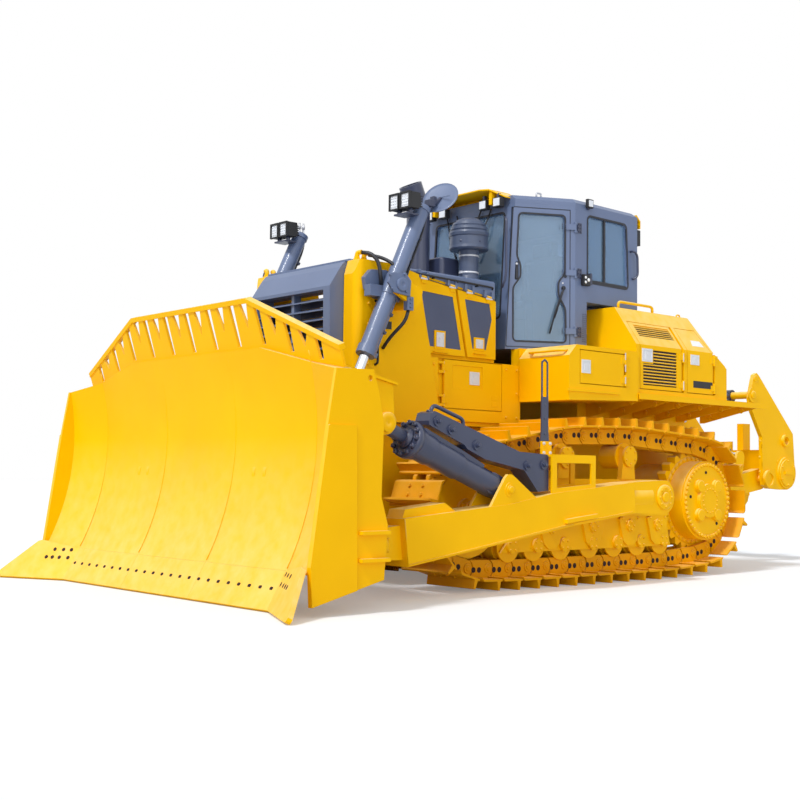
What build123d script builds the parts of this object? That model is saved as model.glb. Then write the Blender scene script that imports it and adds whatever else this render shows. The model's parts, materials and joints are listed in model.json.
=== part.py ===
from build123d import *
import math
import os

# A large crawler bulldozer with a semi-U blade, outside push arms and a single-shank rear ripper.
# Millimetres. +X is the way it pushes, +Y its left, +Z up. The origin is on the ground at the middle
# of its length and width. Outlines of side plates are (x, z), of front plates (y, z), plans are (x, y).

# ---- Driving dimensions -------------------------------------------------------------------------
gauge_half = 1130.0            # track centre to the machine's middle plane
shoe_width = 610.0
shoe_pitch = 260.35
shoe_plate = 20.0              # thickness of a shoe's plate
grouser_height = 80.0
pin_to_shoe = 85.0             # link pin to the underside of the shoe plate
pin_to_rail = 75.0             # link pin to the rail that the rollers run on
link_inner = 62.0              # inner face of a link strand from the track's centre
link_outer = 107.0             # outer face of a link strand from the track's centre
fit_gap = 0.3                  # round pieces lie this far from what they run on
move_gap = 8.0                 # clearance round doors and other moving pieces

idler_x, idler_z, idler_pin_radius = 1775.0, 695.0, 495.0
sprocket_x, sprocket_z, sprocket_pin_radius = -1650.0, 793.0, 564.5
ground_pin_z = grouser_height + shoe_plate + pin_to_shoe
roller_radius = 124.0
roller_z = ground_pin_z + pin_to_rail + fit_gap + roller_radius
roller_places = (1285.0, 940.0, 560.0, 140.0, -240.0, -610.0, -990.0)
carrier_radius = 120.0
carrier_places = ((560.0, 1220.0), (-400.0, 1243.0))     # (x, z)

frame_half = 165.0             # half width of a track frame
hull_half = 600.0
hull_floor = 560.0
hull_top = 1500.0
hull_nose_x = 2740.0
plate = 25.0                   # common plate thickness
body_half = 665.0              # engine housing half width above the waist
hood_half = body_half - 25     # hood half width
waist_half = 745.0             # engine housing half width below the waist
guard_half = 790.0             # radiator guard half width

trunnion_x, trunnion_z = -370.0, 840.0     # push arm's rear pivot
arm_pin_x, arm_pin_z = 3300.0, 475.0       # push arm's front pin, in the blade
arm_inner, arm_outer = 1520.0, 1800.0
arm_mid = (arm_inner + arm_outer) / 2
arm_pin_radius = 60.0

brace_rear_x, brace_rear_z = 1830.0, 909.0
brace_front_x, brace_front_z = 3218.0, 1438.0
brace_pin_radius = 40.0

lift_y = 920.0
lift_trunnion_x, lift_trunnion_z = 2448.0, 2695.0
lift_eye_x, lift_eye_z = 3260.0, 950.0
lift_barrel_radius = 75.0
lift_barrel_above = 843.0
lift_barrel_below = 700.0

platform_z = 2300.0            # walkway and cab floor level
fender_outer = 1400.0
fender_front_x, fender_rear_x = 610.0, -448.0
fender_floor = 1760.0
housing_start_x = 567.0        # engine housing's rear end, which the fenders meet
deck_z = 1880.0
deck_plate = 12.0
deck_front_x, deck_rear_x = fender_rear_x, -2776.0
housing_front_x, housing_rear_x = fender_rear_x, -2040.0

cab_corner_y = 950.0           # widest point of the cab, at the door's hinge
cab_front_x, cab_front_y = 660.0, 600.0
cab_rear_x, cab_rear_y = -1040.0, 930.0
cab_foot_y = 690.0             # half width of the cab's rear below its overhang
cab_notch_z = 2822.0           # underside of the overhang
cab_wall = 60.0
cab_eaves_z = 3790.0
cab_lean = 90.0                # the windscreen's top is this far behind its foot

ripper_pivot_x, ripper_pivot_z = -2780.0, 833.0
ripper_arm_dx, ripper_arm_dz = -1197.0, 198.0            # lower arm, pivot to pin
ripper_link_dx, ripper_link_dz = 334.0, 1028.0           # lower pivot to upper pivot
ripper_pin_radius = 50.0
hitch_radius = 32.0

# ---- Shapes that repeat -------------------------------------------------------------------------
def side_solid(outline, y_low, y_high, mode=Mode.ADD):
    """Adds a piece with an (x, z) outline between two y planes."""
    with BuildSketch(Plane.XZ.offset(-y_high)) as profile:
        with BuildLine():
            Polyline(*outline, close=True)
        make_face()
    extrude(profile.sketch, amount=y_high - y_low, mode=mode)


def plan_solid(outline, z_low, z_high, mode=Mode.ADD):
    """Adds a piece with an (x, y) outline between two heights."""
    with BuildSketch(Plane.XY.offset(z_low)) as profile:
        with BuildLine():
            Polyline(*outline, close=True)
        make_face()
    extrude(profile.sketch, amount=z_high - z_low, mode=mode)


def front_solid(outline, x_low, x_high, mode=Mode.ADD):
    """Adds a piece with a (y, z) outline between two x planes."""
    with BuildSketch(Plane.YZ.offset(x_low)) as profile:
        with BuildLine():
            Polyline(*outline, close=True)
        make_face()
    extrude(profile.sketch, amount=x_high - x_low, mode=mode)


def block(x_low, x_high, y_low, y_high, z_low, z_high, mode=Mode.ADD):
    """Adds a square-cornered piece between its limits."""
    middle = ((x_low + x_high) / 2, (y_low + y_high) / 2, (z_low + z_high) / 2)
    with Locations(middle):
        Box(x_high - x_low, y_high - y_low, z_high - z_low, mode=mode)


def cross_pin(x, z, radius, y_low, y_high, mode=Mode.ADD):
    """Adds a round piece whose axis runs across the machine."""
    with BuildSketch(Plane.XZ.offset(-y_high)) as profile:
        with Locations((x, z)):
            Circle(radius)
    extrude(profile.sketch, amount=y_high - y_low, mode=mode)


def bar(start, end, radius, mode=Mode.ADD):
    """Adds a round bar from one point to another."""
    line = Vector(*end) - Vector(*start)
    with BuildSketch(Plane(origin=start, z_dir=line)) as profile:
        Circle(radius)
    extrude(profile.sketch, amount=line.length, mode=mode)


def rounded_link(start, end, start_radius, end_radius, y_low, y_high, mode=Mode.ADD):
    """Adds a plate between two (x, z) bosses, straight-sided and round at both ends."""
    with BuildSketch(Plane.XZ.offset(-y_high)) as profile:
        with Locations(start):
            Circle(start_radius)
        with Locations(end):
            Circle(end_radius)
        make_hull()
    extrude(profile.sketch, amount=y_high - y_low, mode=mode)


def panel(plane, outline, low, high, mode=Mode.ADD):
    """Adds a plate with an outline in a plane, from one offset to another along its normal."""
    with BuildSketch(plane.offset(low)) as profile:
        with BuildLine():
            Polyline(*outline, close=True)
        make_face()
    extrude(profile.sketch, amount=high - low, mode=mode)


def rounded_panel(plane, outline, radius, low, high, mode=Mode.ADD):
    """Adds a plate with rounded corners in a plane."""
    with BuildSketch(plane.offset(low)) as profile:
        with BuildLine():
            Polyline(*outline, close=True)
        make_face()
        fillet(profile.vertices(), radius)
    extrude(profile.sketch, amount=high - low, mode=mode)

# ---- Door hinges: a pin in two lugs on the fixed piece, and a knuckle and leaf on the door ---------------
hinge_pin_radius = 8.0
knuckle_radius = 14.0
knuckle_length = 60.0
lug_length = 25.0
side_play = 8.0                # between a knuckle and its lugs on the sloping hinges
leaf_reach = 60.0
leaf_thick = 8.0
hinge_gap = 20.0               # from a hinge's axis to the edge of its door
door_recess = 30.0             # engine housing's wall lies this far behind the face of its doors
door_thick_plate = 22.0

lower_hinge = (1646.0, waist_half)
lower_hinge_heights = (1730.0, 2040.0)
upper_hinges = (930.0, 1200.0, 1430.0, 1800.0)     # x where each knuckle of the upper doors starts
upper_hinge_point = (860.0, 2766.0)
upper_hinge_slope = 0.11835
fender_hinge = (-238.0, fender_outer)
fender_hinge_heights = (1992.0, 2190.0)
housing_side = 1375.0          # rear housing's upright side
housing_hinges = ((-1236.0, housing_side), (-1800.0, housing_side))
housing_hinge_heights = (2000.0, 2300.0)


def upright_pin(x, y, radius, z_low, z_high, mode=Mode.ADD):
    """Adds a round upright piece."""
    with BuildSketch(Plane.XY.offset(z_low)) as profile:
        with Locations((x, y)):
            Circle(radius)
    extrude(profile.sketch, amount=z_high - z_low, mode=mode)


def leaf(place, towards, outward, reach, depth, z_low, z_high, mode=Mode.ADD):
    """Adds a flat upright leaf beside a hinge: reach along a face, depth from behind it to in front."""
    corners = ((reach[0], depth[0]), (reach[1], depth[0]), (reach[1], depth[1]), (reach[0], depth[1]))
    plan_solid(
        [
            (
                place[0] + towards[0] * along + outward[0] * out,
                place[1] + towards[1] * along + outward[1] * out,
            )
            for along, out in corners
        ],
        z_low,
        z_high,
        mode,
    )


def hinge_knuckles(place, towards, outward, heights):
    """Adds a door's knuckles round an upright hinge line."""
    for height in heights:
        low, high = height - knuckle_length / 2, height + knuckle_length / 2
        upright_pin(*place, knuckle_radius, low, high)
        leaf(place, towards, outward, (0, leaf_reach), (-1, leaf_thick), low, high)
        upright_pin(*place, hinge_pin_radius + 0.05, low, high, Mode.SUBTRACT)


def hinge_lugs(place, towards, outward, heights, back=1.0):
    """Adds the fixed lugs and pins of an upright hinge."""
    for height in heights:
        half = knuckle_length / 2 + 1
        lower, upper = height - half - lug_length, height + half
        for low, high in ((lower, lower + lug_length), (upper, upper + lug_length)):
            upright_pin(*place, knuckle_radius, low, high)
            leaf(place, towards, outward, (0, leaf_reach), (-back, leaf_thick), low, high)
        upright_pin(*place, hinge_pin_radius, height - half - lug_length, height + half + lug_length)


def upper_hinge_height(x):
    """Height of the upper doors' hinge line."""
    return upper_hinge_point[1] + (x - upper_hinge_point[0]) * upper_hinge_slope


def hinge_lugs_along(x, side):
    """Adds the lugs and pin beside one knuckle of the upper doors."""
    y_low, y_high = sorted((side * (hood_half - 1), side * (body_half + leaf_thick)))
    for start in (x - side_play - lug_length, x + knuckle_length + side_play):
        end = start + lug_length
        bar(
            (start, side * body_half, upper_hinge_height(start)),
            (end, side * body_half, upper_hinge_height(end)),
            knuckle_radius,
        )
        side_solid(
            (
                (start, upper_hinge_height(start)), (start, upper_hinge_height(start) + leaf_reach),
                (end, upper_hinge_height(end) + leaf_reach), (end, upper_hinge_height(end)),
            ),
            y_low,
            y_high,
        )
    start, end = x - side_play - lug_length, x + knuckle_length + side_play + lug_length
    bar(
        (start, side * body_half, upper_hinge_height(start)),
        (end, side * body_half, upper_hinge_height(end)),
        hinge_pin_radius,
    )

# ---- Track path: one belt of arcs and straights round wheels and rollers --------------------------
belt_wheels = (
    # (x, z, radius of the pin line round it), counter-clockwise seen from the right side
    (idler_x, idler_z, idler_pin_radius),
    (carrier_places[0][0], carrier_places[0][1], carrier_radius + pin_to_rail),
    (carrier_places[1][0], carrier_places[1][1], carrier_radius + pin_to_rail),
    (sprocket_x, sprocket_z, sprocket_pin_radius),
    (roller_places[-1], roller_z, roller_z - ground_pin_z),
    (roller_places[0], roller_z, roller_z - ground_pin_z),
)


def belt_tangents(wheels):
    """Angle of the outward normal where the belt leaves each wheel for the next."""
    normals = []
    for index, (x, z, radius) in enumerate(wheels):
        next_x, next_z, next_radius = wheels[(index + 1) % len(wheels)]
        distance = math.hypot(next_x - x, next_z - z)
        heading = math.atan2(next_z - z, next_x - x)
        normals.append(heading - math.acos((radius - next_radius) / distance))
    return normals


def belt_pins(wheels, pitch):
    """Pin centres at equal steps along the belt."""
    normals = belt_tangents(wheels)
    spans = []
    for index, (x, z, radius) in enumerate(wheels):
        arrive, leave = normals[index - 1], normals[index]
        turn = (leave - arrive) % (2 * math.pi)
        spans.append(("arc", radius * turn, (x, z, radius, arrive)))
        next_x, next_z, next_radius = wheels[(index + 1) % len(wheels)]
        start = (x + radius * math.cos(leave), z + radius * math.sin(leave))
        end = (next_x + next_radius * math.cos(leave), next_z + next_radius * math.sin(leave))
        spans.append(("line", math.dist(start, end), (start, end)))
    total = sum(length for _, length, _ in spans)
    count = round(total / pitch)
    pins = []
    for number in range(count):
        along = number * total / count
        for kind, length, shape in spans:
            if along <= length:
                break
            along -= length
        if kind == "arc":
            x, z, radius, arrive = shape
            angle = arrive + along / radius
            pins.append((x + radius * math.cos(angle), z + radius * math.sin(angle)))
        else:
            (x, z), (end_x, end_z) = shape
            share = along / length
            pins.append((x + (end_x - x) * share, z + (end_z - z) * share))
    return pins


track_pins = belt_pins(belt_wheels, shoe_pitch)


def link_frames(pins):
    """For each link: its first pin, its heading and its outward normal."""
    frames = []
    for index, (x, z) in enumerate(pins):
        next_x, next_z = pins[(index + 1) % len(pins)]
        length = math.hypot(next_x - x, next_z - z)
        heading = ((next_x - x) / length, (next_z - z) / length)
        frames.append(((x, z), heading, (heading[1], -heading[0]), length))
    return frames


track_links = link_frames(track_pins)


def ring_at(offset):
    """The belt's polygon moved outward by an offset, with its corners at the pins."""
    ring = []
    for index, ((x, z), _, normal, _) in enumerate(track_links):
        before = track_links[index - 1][2]
        middle = (normal[0] + before[0], normal[1] + before[1])
        size = math.hypot(*middle)
        reach = offset / (size / 2)
        ring.append((x + middle[0] / size * reach, z + middle[1] / size * reach))
    return ring


def wheel_height(x, radius, upper):
    """Height at which a wheel at x just clears the rail of the upper or the lower run."""
    heights = []
    rail = ring_at(-pin_to_rail)
    for index, (_, _, normal, _) in enumerate(track_links):
        rail_x, rail_z = rail[index]
        next_x = rail[(index + 1) % len(rail)][0]
        near = min(rail_x, next_x) < x + radius and max(rail_x, next_x) > x - radius
        if (normal[1] > 0) == upper and near:
            heights.append(rail_z + ((rail_x - x) * normal[0] - radius - fit_gap) / normal[1])
    return min(heights) if upper else max(heights)


def shoe_outline():
    """Outer outline of all shoes: plates with one grouser each."""
    top = pin_to_shoe + shoe_plate
    tip = top + grouser_height
    places = ((0.0, top), (30.0, top), (38.0, tip), (60.0, tip), (72.0, top))  # (along, outward)
    outline = []
    for (x, z), heading, normal, length in track_links:
        for along, outward in places + ((length, top),):
            point = (
                x + heading[0] * along + normal[0] * outward,
                z + heading[1] * along + normal[1] * outward,
            )
            if not outline or math.dist(point, outline[-1]) > 1.0:
                outline.append(point)
    if math.dist(outline[0], outline[-1]) < 1.0:
        outline.pop()
    return outline


with BuildPart() as track_left:
    side_solid(shoe_outline(), gauge_half - shoe_width / 2, gauge_half + shoe_width / 2)
    side_solid(ring_at(pin_to_shoe), gauge_half - shoe_width / 2, gauge_half + shoe_width / 2, Mode.SUBTRACT)
    for side in (-1, 1):
        near, far = sorted((gauge_half + side * link_inner, gauge_half + side * link_outer))
        with BuildSketch(Plane.XZ.offset(-far)) as strand:
            with BuildLine():
                Polyline(*ring_at(pin_to_shoe), close=True)
            make_face()
            with BuildLine():
                Polyline(*ring_at(-pin_to_rail), close=True)
            make_face(mode=Mode.SUBTRACT)
        extrude(strand.sketch, amount=far - near)

with BuildPart() as track_right:
    mirror(track_left.part, about=Plane.XZ)

# ---- Wheels and rollers inside each track -----------------------------------------------------------
wheel_rim = 400.0              # idler's running radius, inside the links
idler_guide = 420.0            # idler's centre guide, between the link strands
guide_half = 52.0

with BuildPart() as idlers:
    cross_pin(idler_x, idler_z, wheel_rim, gauge_half - link_outer, gauge_half + link_outer)
    cross_pin(idler_x, idler_z, idler_guide, gauge_half - guide_half, gauge_half + guide_half)
    for side in (-1, 1):
        near, far = sorted((gauge_half + side * 70.0, gauge_half + side * (link_outer + 5)))
        cross_pin(idler_x, idler_z, 320.0, near, far, Mode.SUBTRACT)
    cross_pin(idler_x, idler_z, 130.0, gauge_half - link_outer, gauge_half + link_outer)
    mirror(about=Plane.XZ)

flange_radius = 148.0
flange_inner, flange_outer = 110.0, 128.0

with BuildPart() as rollers_left:
    for x in roller_places:
        roller_z = wheel_height(x, roller_radius, upper=False)
        cross_pin(x, roller_z, roller_radius, gauge_half - flange_outer, gauge_half + flange_outer)
        cross_pin(x, roller_z, flange_radius, gauge_half - guide_half, gauge_half + guide_half)
        for side in (-1, 1):
            near, far = sorted((gauge_half + side * flange_inner, gauge_half + side * flange_outer))
            cross_pin(x, roller_z, flange_radius, near, far)
        cross_pin(x, roller_z, 50.0, gauge_half - frame_half + plate, gauge_half + frame_half - plate)
    for x, _ in carrier_places:
        z = wheel_height(x, carrier_radius, upper=True)
        cross_pin(x, z, carrier_radius, gauge_half - link_outer, gauge_half + flange_outer)
        cross_pin(x, z, flange_radius - 10, gauge_half + flange_inner, gauge_half + flange_outer)

with BuildPart() as rollers_right:
    mirror(rollers_left.part, about=Plane.XZ)

# ---- Final drives: sprocket, hub and the case that carries them on the hull ---------------------------
hub_radius = 420.0
sprocket_root = 478.0
sprocket_tip = 540.0
sprocket_teeth = 27

with BuildPart() as final_drives:
    cross_pin(sprocket_x, sprocket_z, 390.0, hull_half, gauge_half - 60)
    cross_pin(sprocket_x, sprocket_z, sprocket_root, gauge_half - guide_half, gauge_half + guide_half)
    cross_pin(sprocket_x, sprocket_z, 300.0, gauge_half - 60, gauge_half)
    with BuildSketch(Plane.XZ.offset(-(gauge_half + guide_half))) as teeth:
        with BuildLine():
            Polyline(
                *[
                    (
                        sprocket_x + radius * math.cos((tooth + share) * 2 * math.pi / sprocket_teeth),
                        sprocket_z + radius * math.sin((tooth + share) * 2 * math.pi / sprocket_teeth),
                    )
                    for tooth in range(sprocket_teeth)
                    for share, radius in ((0.0, sprocket_root), (0.35, sprocket_tip), (0.65, sprocket_tip))
                ],
                close=True,
            )
        make_face()
    extrude(teeth.sketch, amount=2 * guide_half)
    cross_pin(sprocket_x, sprocket_z, hub_radius, gauge_half, 1360.0)
    cross_pin(sprocket_x, sprocket_z, 400.0, 1360.0, 1385.0)
    cross_pin(sprocket_x, sprocket_z, 180.0, 1385.0, 1425.0)
    for turn in range(4):
        angle = math.radians(45 + 90 * turn)
        x = sprocket_x + 215 * math.cos(angle)
        z = sprocket_z + 215 * math.sin(angle)
        cross_pin(x, z, 70.0, 1385.0, 1415.0)
    mirror(about=Plane.XZ)

# ---- Track frames ---------------------------------------------------------------------------------
box_floor = roller_z + flange_radius + 20
frame_top = 1010.0
guard_floor = roller_z - 60
bogie_places = (750.0, 140.0, -430.0, -880.0)

with BuildPart() as track_frame_left:
    near, far = gauge_half - frame_half, gauge_half + frame_half
    side_solid(
        ((-1060, box_floor), (-1060, 900), (-900, frame_top), (900, frame_top), (1200, 900),
        (1200, box_floor)),
        near,
        far,
    )
    for low, high in ((near, near + plate), (far - plate, far)):
        side_solid(
            ((-1120, guard_floor), (-1060, box_floor), (1200, box_floor), (1420, guard_floor)), low, high
        )
        side_solid(((1150, 600), (1150, 850), (idler_x + 130, 780), (idler_x + 130, 610)), low, high)
    cross_pin(idler_x, idler_z, 60.0, gauge_half + link_outer + fit_gap, far)
    cross_pin(idler_x, idler_z, 60.0, near, gauge_half - link_outer - fit_gap)
    for x, _ in carrier_places:
        z = wheel_height(x, carrier_radius, upper=True)
        side_solid(
            ((x - 110, frame_top), (x - 70, z + 95), (x + 70, z + 95), (x + 110, frame_top)),
            gauge_half + flange_outer + fit_gap,
            far + 20,
        )
        cross_pin(x, z, 105.0, far + 20, far + 50)
    # Covers of the rocking roller mounts, and the ledge along the frame's outer face
    for x in bogie_places:
        side_solid(
            (
                (x - 170, box_floor + 60), (x - 60, box_floor + 120), (x + 60, box_floor + 120),
                (x + 170, box_floor + 60), (x + 110, guard_floor + 70), (x + 45, guard_floor + 20),
                (x - 45, guard_floor + 20), (x - 110, guard_floor + 70),
            ),
            far,
            far + 22,
        )
        cross_pin(x, box_floor - 10, 62, far + 22, far + 40)
    for x in roller_places:
        cross_pin(x, wheel_height(x, roller_radius, upper=False), 66, far, far + 26)
    side_solid(((-1040, 640), (-1040, 668), (1160, 668), (1160, 640)), far, far + 30)
    cross_pin(idler_x, idler_z, 118, far, far + 24)
    cross_pin(trunnion_x, trunnion_z, 130.0, far, far + 60)
    cross_pin(trunnion_x, trunnion_z, 90.0, far + 60, arm_outer - 60)
    cross_pin(-850, 790, 100.0, hull_half, near)

with BuildPart() as track_frame_right:
    mirror(track_frame_left.part, about=Plane.XZ)

# ---- Hull ---------------------------------------------------------------------------------------
hull_outline = (
    (-2350, 700), (-2350, hull_top), (hull_nose_x, hull_top), (hull_nose_x, 1080), (2300, 620),
    (2240, hull_floor),
    (-2200, hull_floor),
)
engine_floor = 850.0
bay_rear_x, bay_front_x = -800.0, 2240.0     # engine bay between the frame's rails
rail_thick = 60.0

with BuildPart() as main_frame:
    side_solid(hull_outline, -hull_half, hull_half)
    block(
        bay_rear_x, bay_front_x, -hull_half + rail_thick, hull_half - rail_thick, hull_floor - 1,
        hull_top + 1,
        Mode.SUBTRACT,
    )
    block(
        bay_rear_x, bay_front_x, -hull_half, hull_half, hull_floor - 1, hull_floor + rail_thick, Mode.SUBTRACT
    )
    block(-2350, deck_front_x, -hull_half, hull_half, hull_top, deck_z - deck_plate)
    for low, high in ((1090, 1130), (1190, 1230)):
        block(2740, 2860, -70, 70, low, high)
    with BuildSketch(Plane.XY.offset(1080)) as hitch_hole:
        with Locations((2810, 0)):
            Circle(hitch_radius)
    extrude(hitch_hole.sketch, amount=160, mode=Mode.SUBTRACT)

with BuildPart() as belly_guard:
    block(bay_rear_x, bay_front_x, -hull_half, hull_half, hull_floor, hull_floor + rail_thick)
    for x in (850, 1750):
        block(
            x, x + 100, -hull_half + rail_thick, hull_half - rail_thick, hull_floor + rail_thick, engine_floor
        )

with BuildPart() as engine:
    block(750, 1950, -420, 420, engine_floor, 2350)

with BuildPart() as equalizer_bar:
    side_solid(((1180, 700), (1180, 800), (1320, 800), (1320, 700)), -(gauge_half - frame_half), -hull_half)
    side_solid(((1180, 700), (1180, 800), (1320, 800), (1320, 700)), hull_half, gauge_half - frame_half)

# ---- Nose: radiator guard, grille, hood ---------------------------------------------------------------
guard_top = 2930.0
guard_wall = 60.0
guard_corner = 75.0            # radius of the guard's upright front corners
guard_outline = (
    (1700, hull_top), (2004, guard_top - 60), (2300, guard_top), (2700, guard_top), (hull_nose_x, 2800),
    (hull_nose_x, hull_top),
)
hood_top = 2950.0
hood_rear_x, hood_front_x = 850.0, 2690.0
hood_rear_z = 2780.0           # underside of the hood at its rear end
hood_bend_x = 2004.0           # the hood's underside rises to the guard's top here
hood_slope = (guard_top - hood_rear_z) / (hood_bend_x - hood_rear_x)
grille_front = 2896.0
grille_half = 604.0
grille_floor = 1560.0
slat_count = 11
slat_first, slat_pitch = 1690.0, 88.0


def hood_underside(x):
    """Height of the hood's sloping underside, which the side doors follow."""
    return hood_rear_z + (x - hood_rear_x) * hood_slope


with BuildPart() as radiator_guard:
    with BuildSketch(Plane.XY.offset(hull_top)) as guard_plan:
        with Locations(((1700 + hull_nose_x) / 2, 0)):
            Rectangle(hull_nose_x - 1700, 2 * guard_half)
        fillet(guard_plan.vertices().group_by(Axis.X)[-1], guard_corner)
    extrude(amount=guard_top - hull_top)
    side_solid(guard_outline, -guard_half, guard_half, Mode.INTERSECT)
    block(1600, 2660, -guard_half + guard_wall, guard_half - guard_wall, hull_top - 10, guard_top + 10,
          Mode.SUBTRACT)
    block(2600, 2800, -grille_half - 6, grille_half + 6, hull_top + guard_wall, guard_top + 10, Mode.SUBTRACT)

with BuildPart() as grille:
    side_solid(
        (
            (2700, grille_floor), (2700, 2915), (2732, 2920), (2777, 2869), (grille_front, 2690),
            (grille_front - 20, grille_floor),
        ),
        -grille_half,
        grille_half,
    )
    block(2690, 3000, -510, 510, 1660, 2660, Mode.SUBTRACT)
    for row in range(slat_count):
        z = slat_first + row * slat_pitch
        side_solid(((2765, z + 34), (2765, z + 46), (2868, z + 12), (2868, z)), -510, 510)
    block(2770, 2850, -20, 20, 1660, 2660)

with BuildPart() as hood:
    side_solid(
        (
            (hood_rear_x, hood_rear_z), (hood_rear_x, hood_top), (hood_front_x, hood_top),
            (hood_front_x, guard_top), (hood_bend_x, guard_top),
        ),
        -hood_half,
        hood_half,
    )
    chamfer(hood.edges().filter_by(Axis.X).group_by(Axis.Z)[-1], 18)
    for x in upper_hinges:
        for side in (-1, 1):
            hinge_lugs_along(x, side)

pipe_x, pipe_radius, pipe_bore = 1305.0, 118.0, 100.0
pipe_bend_z = 3700.0
pipe_end = (1420.0, 3936.0)    # (x, z) centre of the open end

with BuildPart() as exhaust_stack:
    block(900, 1165, -200, 200, hood_top, hood_top + 270)
    fillet(exhaust_stack.edges().filter_by(Axis.Z), 40)
    fillet(exhaust_stack.faces().sort_by(Axis.Z)[-1].edges(), 25)
    with BuildSketch(Plane.XY.offset(hood_top)) as pipe:
        with Locations((pipe_x, 0)):
            Circle(pipe_radius)
    extrude(pipe.sketch, amount=pipe_bend_z - hood_top)
    with Locations((pipe_x, 0, pipe_bend_z)):
        Sphere(pipe_radius)
    bar((pipe_x, 0, pipe_bend_z), (pipe_end[0], 0, pipe_end[1]), pipe_radius)
    with Locations((pipe_x, 0, pipe_bend_z)):
        Sphere(pipe_bore, mode=Mode.SUBTRACT)
    bar((pipe_x, 0, pipe_bend_z), (pipe_end[0] + 10, 0, pipe_end[1] + 20.5), pipe_bore, Mode.SUBTRACT)
    with BuildSketch(Plane.XY.offset(hood_top)) as collar:
        with Locations((pipe_x, 0)):
            Circle(pipe_radius + 22)
    extrude(collar.sketch, amount=45)

cleaner_place = (910.0, 330.0)
cleaner_profile = (
    # (radius, height) from the neck's foot, over the ribbed dome, to the axis
    (0, hood_top), (125, hood_top), (112, 2985), (98, 3030), (98, 3240), (104, 3285), (190, 3288),
    (200, 3302),
    (194, 3330), (190, 3420), (199, 3428), (204, 3455), (196, 3474), (182, 3480), (190, 3494), (184, 3520),
    (168, 3528), (172, 3542), (160, 3566), (140, 3574), (128, 3592), (90, 3610), (45, 3620), (0, 3622),
)

with BuildPart() as air_cleaner:
    cleaner_plane = Plane(origin=(*cleaner_place, 0), x_dir=(1, 0, 0), z_dir=(0, -1, 0))
    with BuildSketch(cleaner_plane) as half_section:
        with BuildLine():
            Polyline(*cleaner_profile, close=True)
        make_face()
    revolve(half_section.sketch, axis=Axis((*cleaner_place, 0), (0, 0, 1)))

# ---- Engine housing: waist boxes and side frames, with its doors ------------------------------------------
waist_top = 2125.0
door_lean = 0.2227             # the upper doors' upright edges lean like the guard's rear edge
upper_door_floor = 2170.0
window_depth = 10.0            # mesh windows are let into the doors this far
upper_doors = (
    # rear and front edge at the doors' feet, and whether each edge leans
    (860.0, 1244.0, 0.0, door_lean),
    (1274.0, 1830.0, door_lean, door_lean),
)
upper_windows = (
    ((1287, 2728), (949, 2714), (913, 2559), (994, 2256), (1180, 2256)),
    ((1875, 2751), (1448, 2731), (1335, 2230), (1740, 2237)),
)
latch_boxes = ((1022, 1160, 2240, 2368), (1546, 1686, 2216, 2392))     # x and z limits

with BuildPart() as engine_housing:
    block(housing_start_x, 1895, hull_half - 1, waist_half - door_recess, hull_top, waist_top)
    side_solid(
        (
            (hood_rear_x, waist_top), (hood_rear_x, hood_underside(hood_rear_x)),
            (1995, hood_underside(1995)),
            (1850, waist_top),
        ),
        body_half - 65,
        body_half - door_recess,
    )
    hinge_lugs(lower_hinge, (1, 0), (0, 1), lower_hinge_heights, door_recess)
    # Fixed panels in front of and behind the lower door
    lug_end = lower_hinge[0] + leaf_reach
    side_solid(
        ((lug_end, 1540), (lug_end, waist_top), (1838, waist_top), (lug_end + 1, 1545)),
        waist_half - door_recess,
        waist_half,
    )
    block(housing_start_x + 20, 848, waist_half - door_recess, waist_half, 1540, waist_top)
    for low, high in ((1540, 1652), (2123, waist_top)):
        block(848, lug_end, waist_half - door_recess, waist_half, low, high)
    mirror(about=Plane.XZ)
    block(840, 1640, -(waist_half - 90), waist_half - 90, 1400, waist_top + 1, Mode.SUBTRACT)
    block(hood_rear_x - 20, 1640, -(hull_half - 60), hull_half - 60, waist_top - 1, 3000, Mode.SUBTRACT)

with BuildPart() as lower_door_left:
    block(856, lower_hinge[0] - hinge_gap, waist_half - door_thick_plate, waist_half, 1660, 2115)
    block(1120, 1520, waist_half - 8, waist_half + 1, 1850, 2070, Mode.SUBTRACT)
    hinge_knuckles(lower_hinge, (-1, 0), (0, 1), lower_hinge_heights)
with BuildPart() as lower_door_right:
    mirror(lower_door_left.part, about=Plane.XZ)

with BuildPart() as upper_doors_left:
    for rear, front, rear_lean, front_lean in upper_doors:
        rise = upper_hinge_height(rear) - upper_door_floor
        rear_top = rear + rise * rear_lean
        front_top = front + (upper_hinge_height(front) - upper_door_floor) * front_lean
        side_solid(
            (
                (rear, upper_door_floor), (rear_top, upper_hinge_height(rear_top) - hinge_gap),
                (front_top, upper_hinge_height(front_top) - hinge_gap), (front, upper_door_floor),
            ),
            body_half - door_thick_plate,
            body_half,
        )
    for outline in upper_windows:
        side_solid(outline, body_half - window_depth, body_half + 1, Mode.SUBTRACT)
    for rear, front, low, high in latch_boxes:
        block(rear, front, body_half - window_depth, body_half + 6, low, high)
        block(rear - 20, front + 20, body_half, body_half + 30, low - 34, low - 26)
        block(rear - 20, front + 20, body_half - window_depth, body_half, low - 34, low - 26)
    for x in upper_hinges:
        start = (x, body_half, upper_hinge_height(x))
        end = (x + knuckle_length, body_half, upper_hinge_height(x + knuckle_length))
        bar(start, end, knuckle_radius)
        side_solid(
            (
                (x, start[2]), (x + knuckle_length, end[2]), (x + knuckle_length, end[2] - leaf_reach),
                (x, start[2] - leaf_reach),
            ),
            body_half,
            body_half + leaf_thick,
        )
        start = (x - side_play, body_half, upper_hinge_height(x - side_play))
        far = x + knuckle_length + side_play
        bar(start, (far, body_half, upper_hinge_height(far)), hinge_pin_radius + 0.05, Mode.SUBTRACT)
with BuildPart() as upper_doors_right:
    mirror(upper_doors_left.part, about=Plane.XZ)

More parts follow.
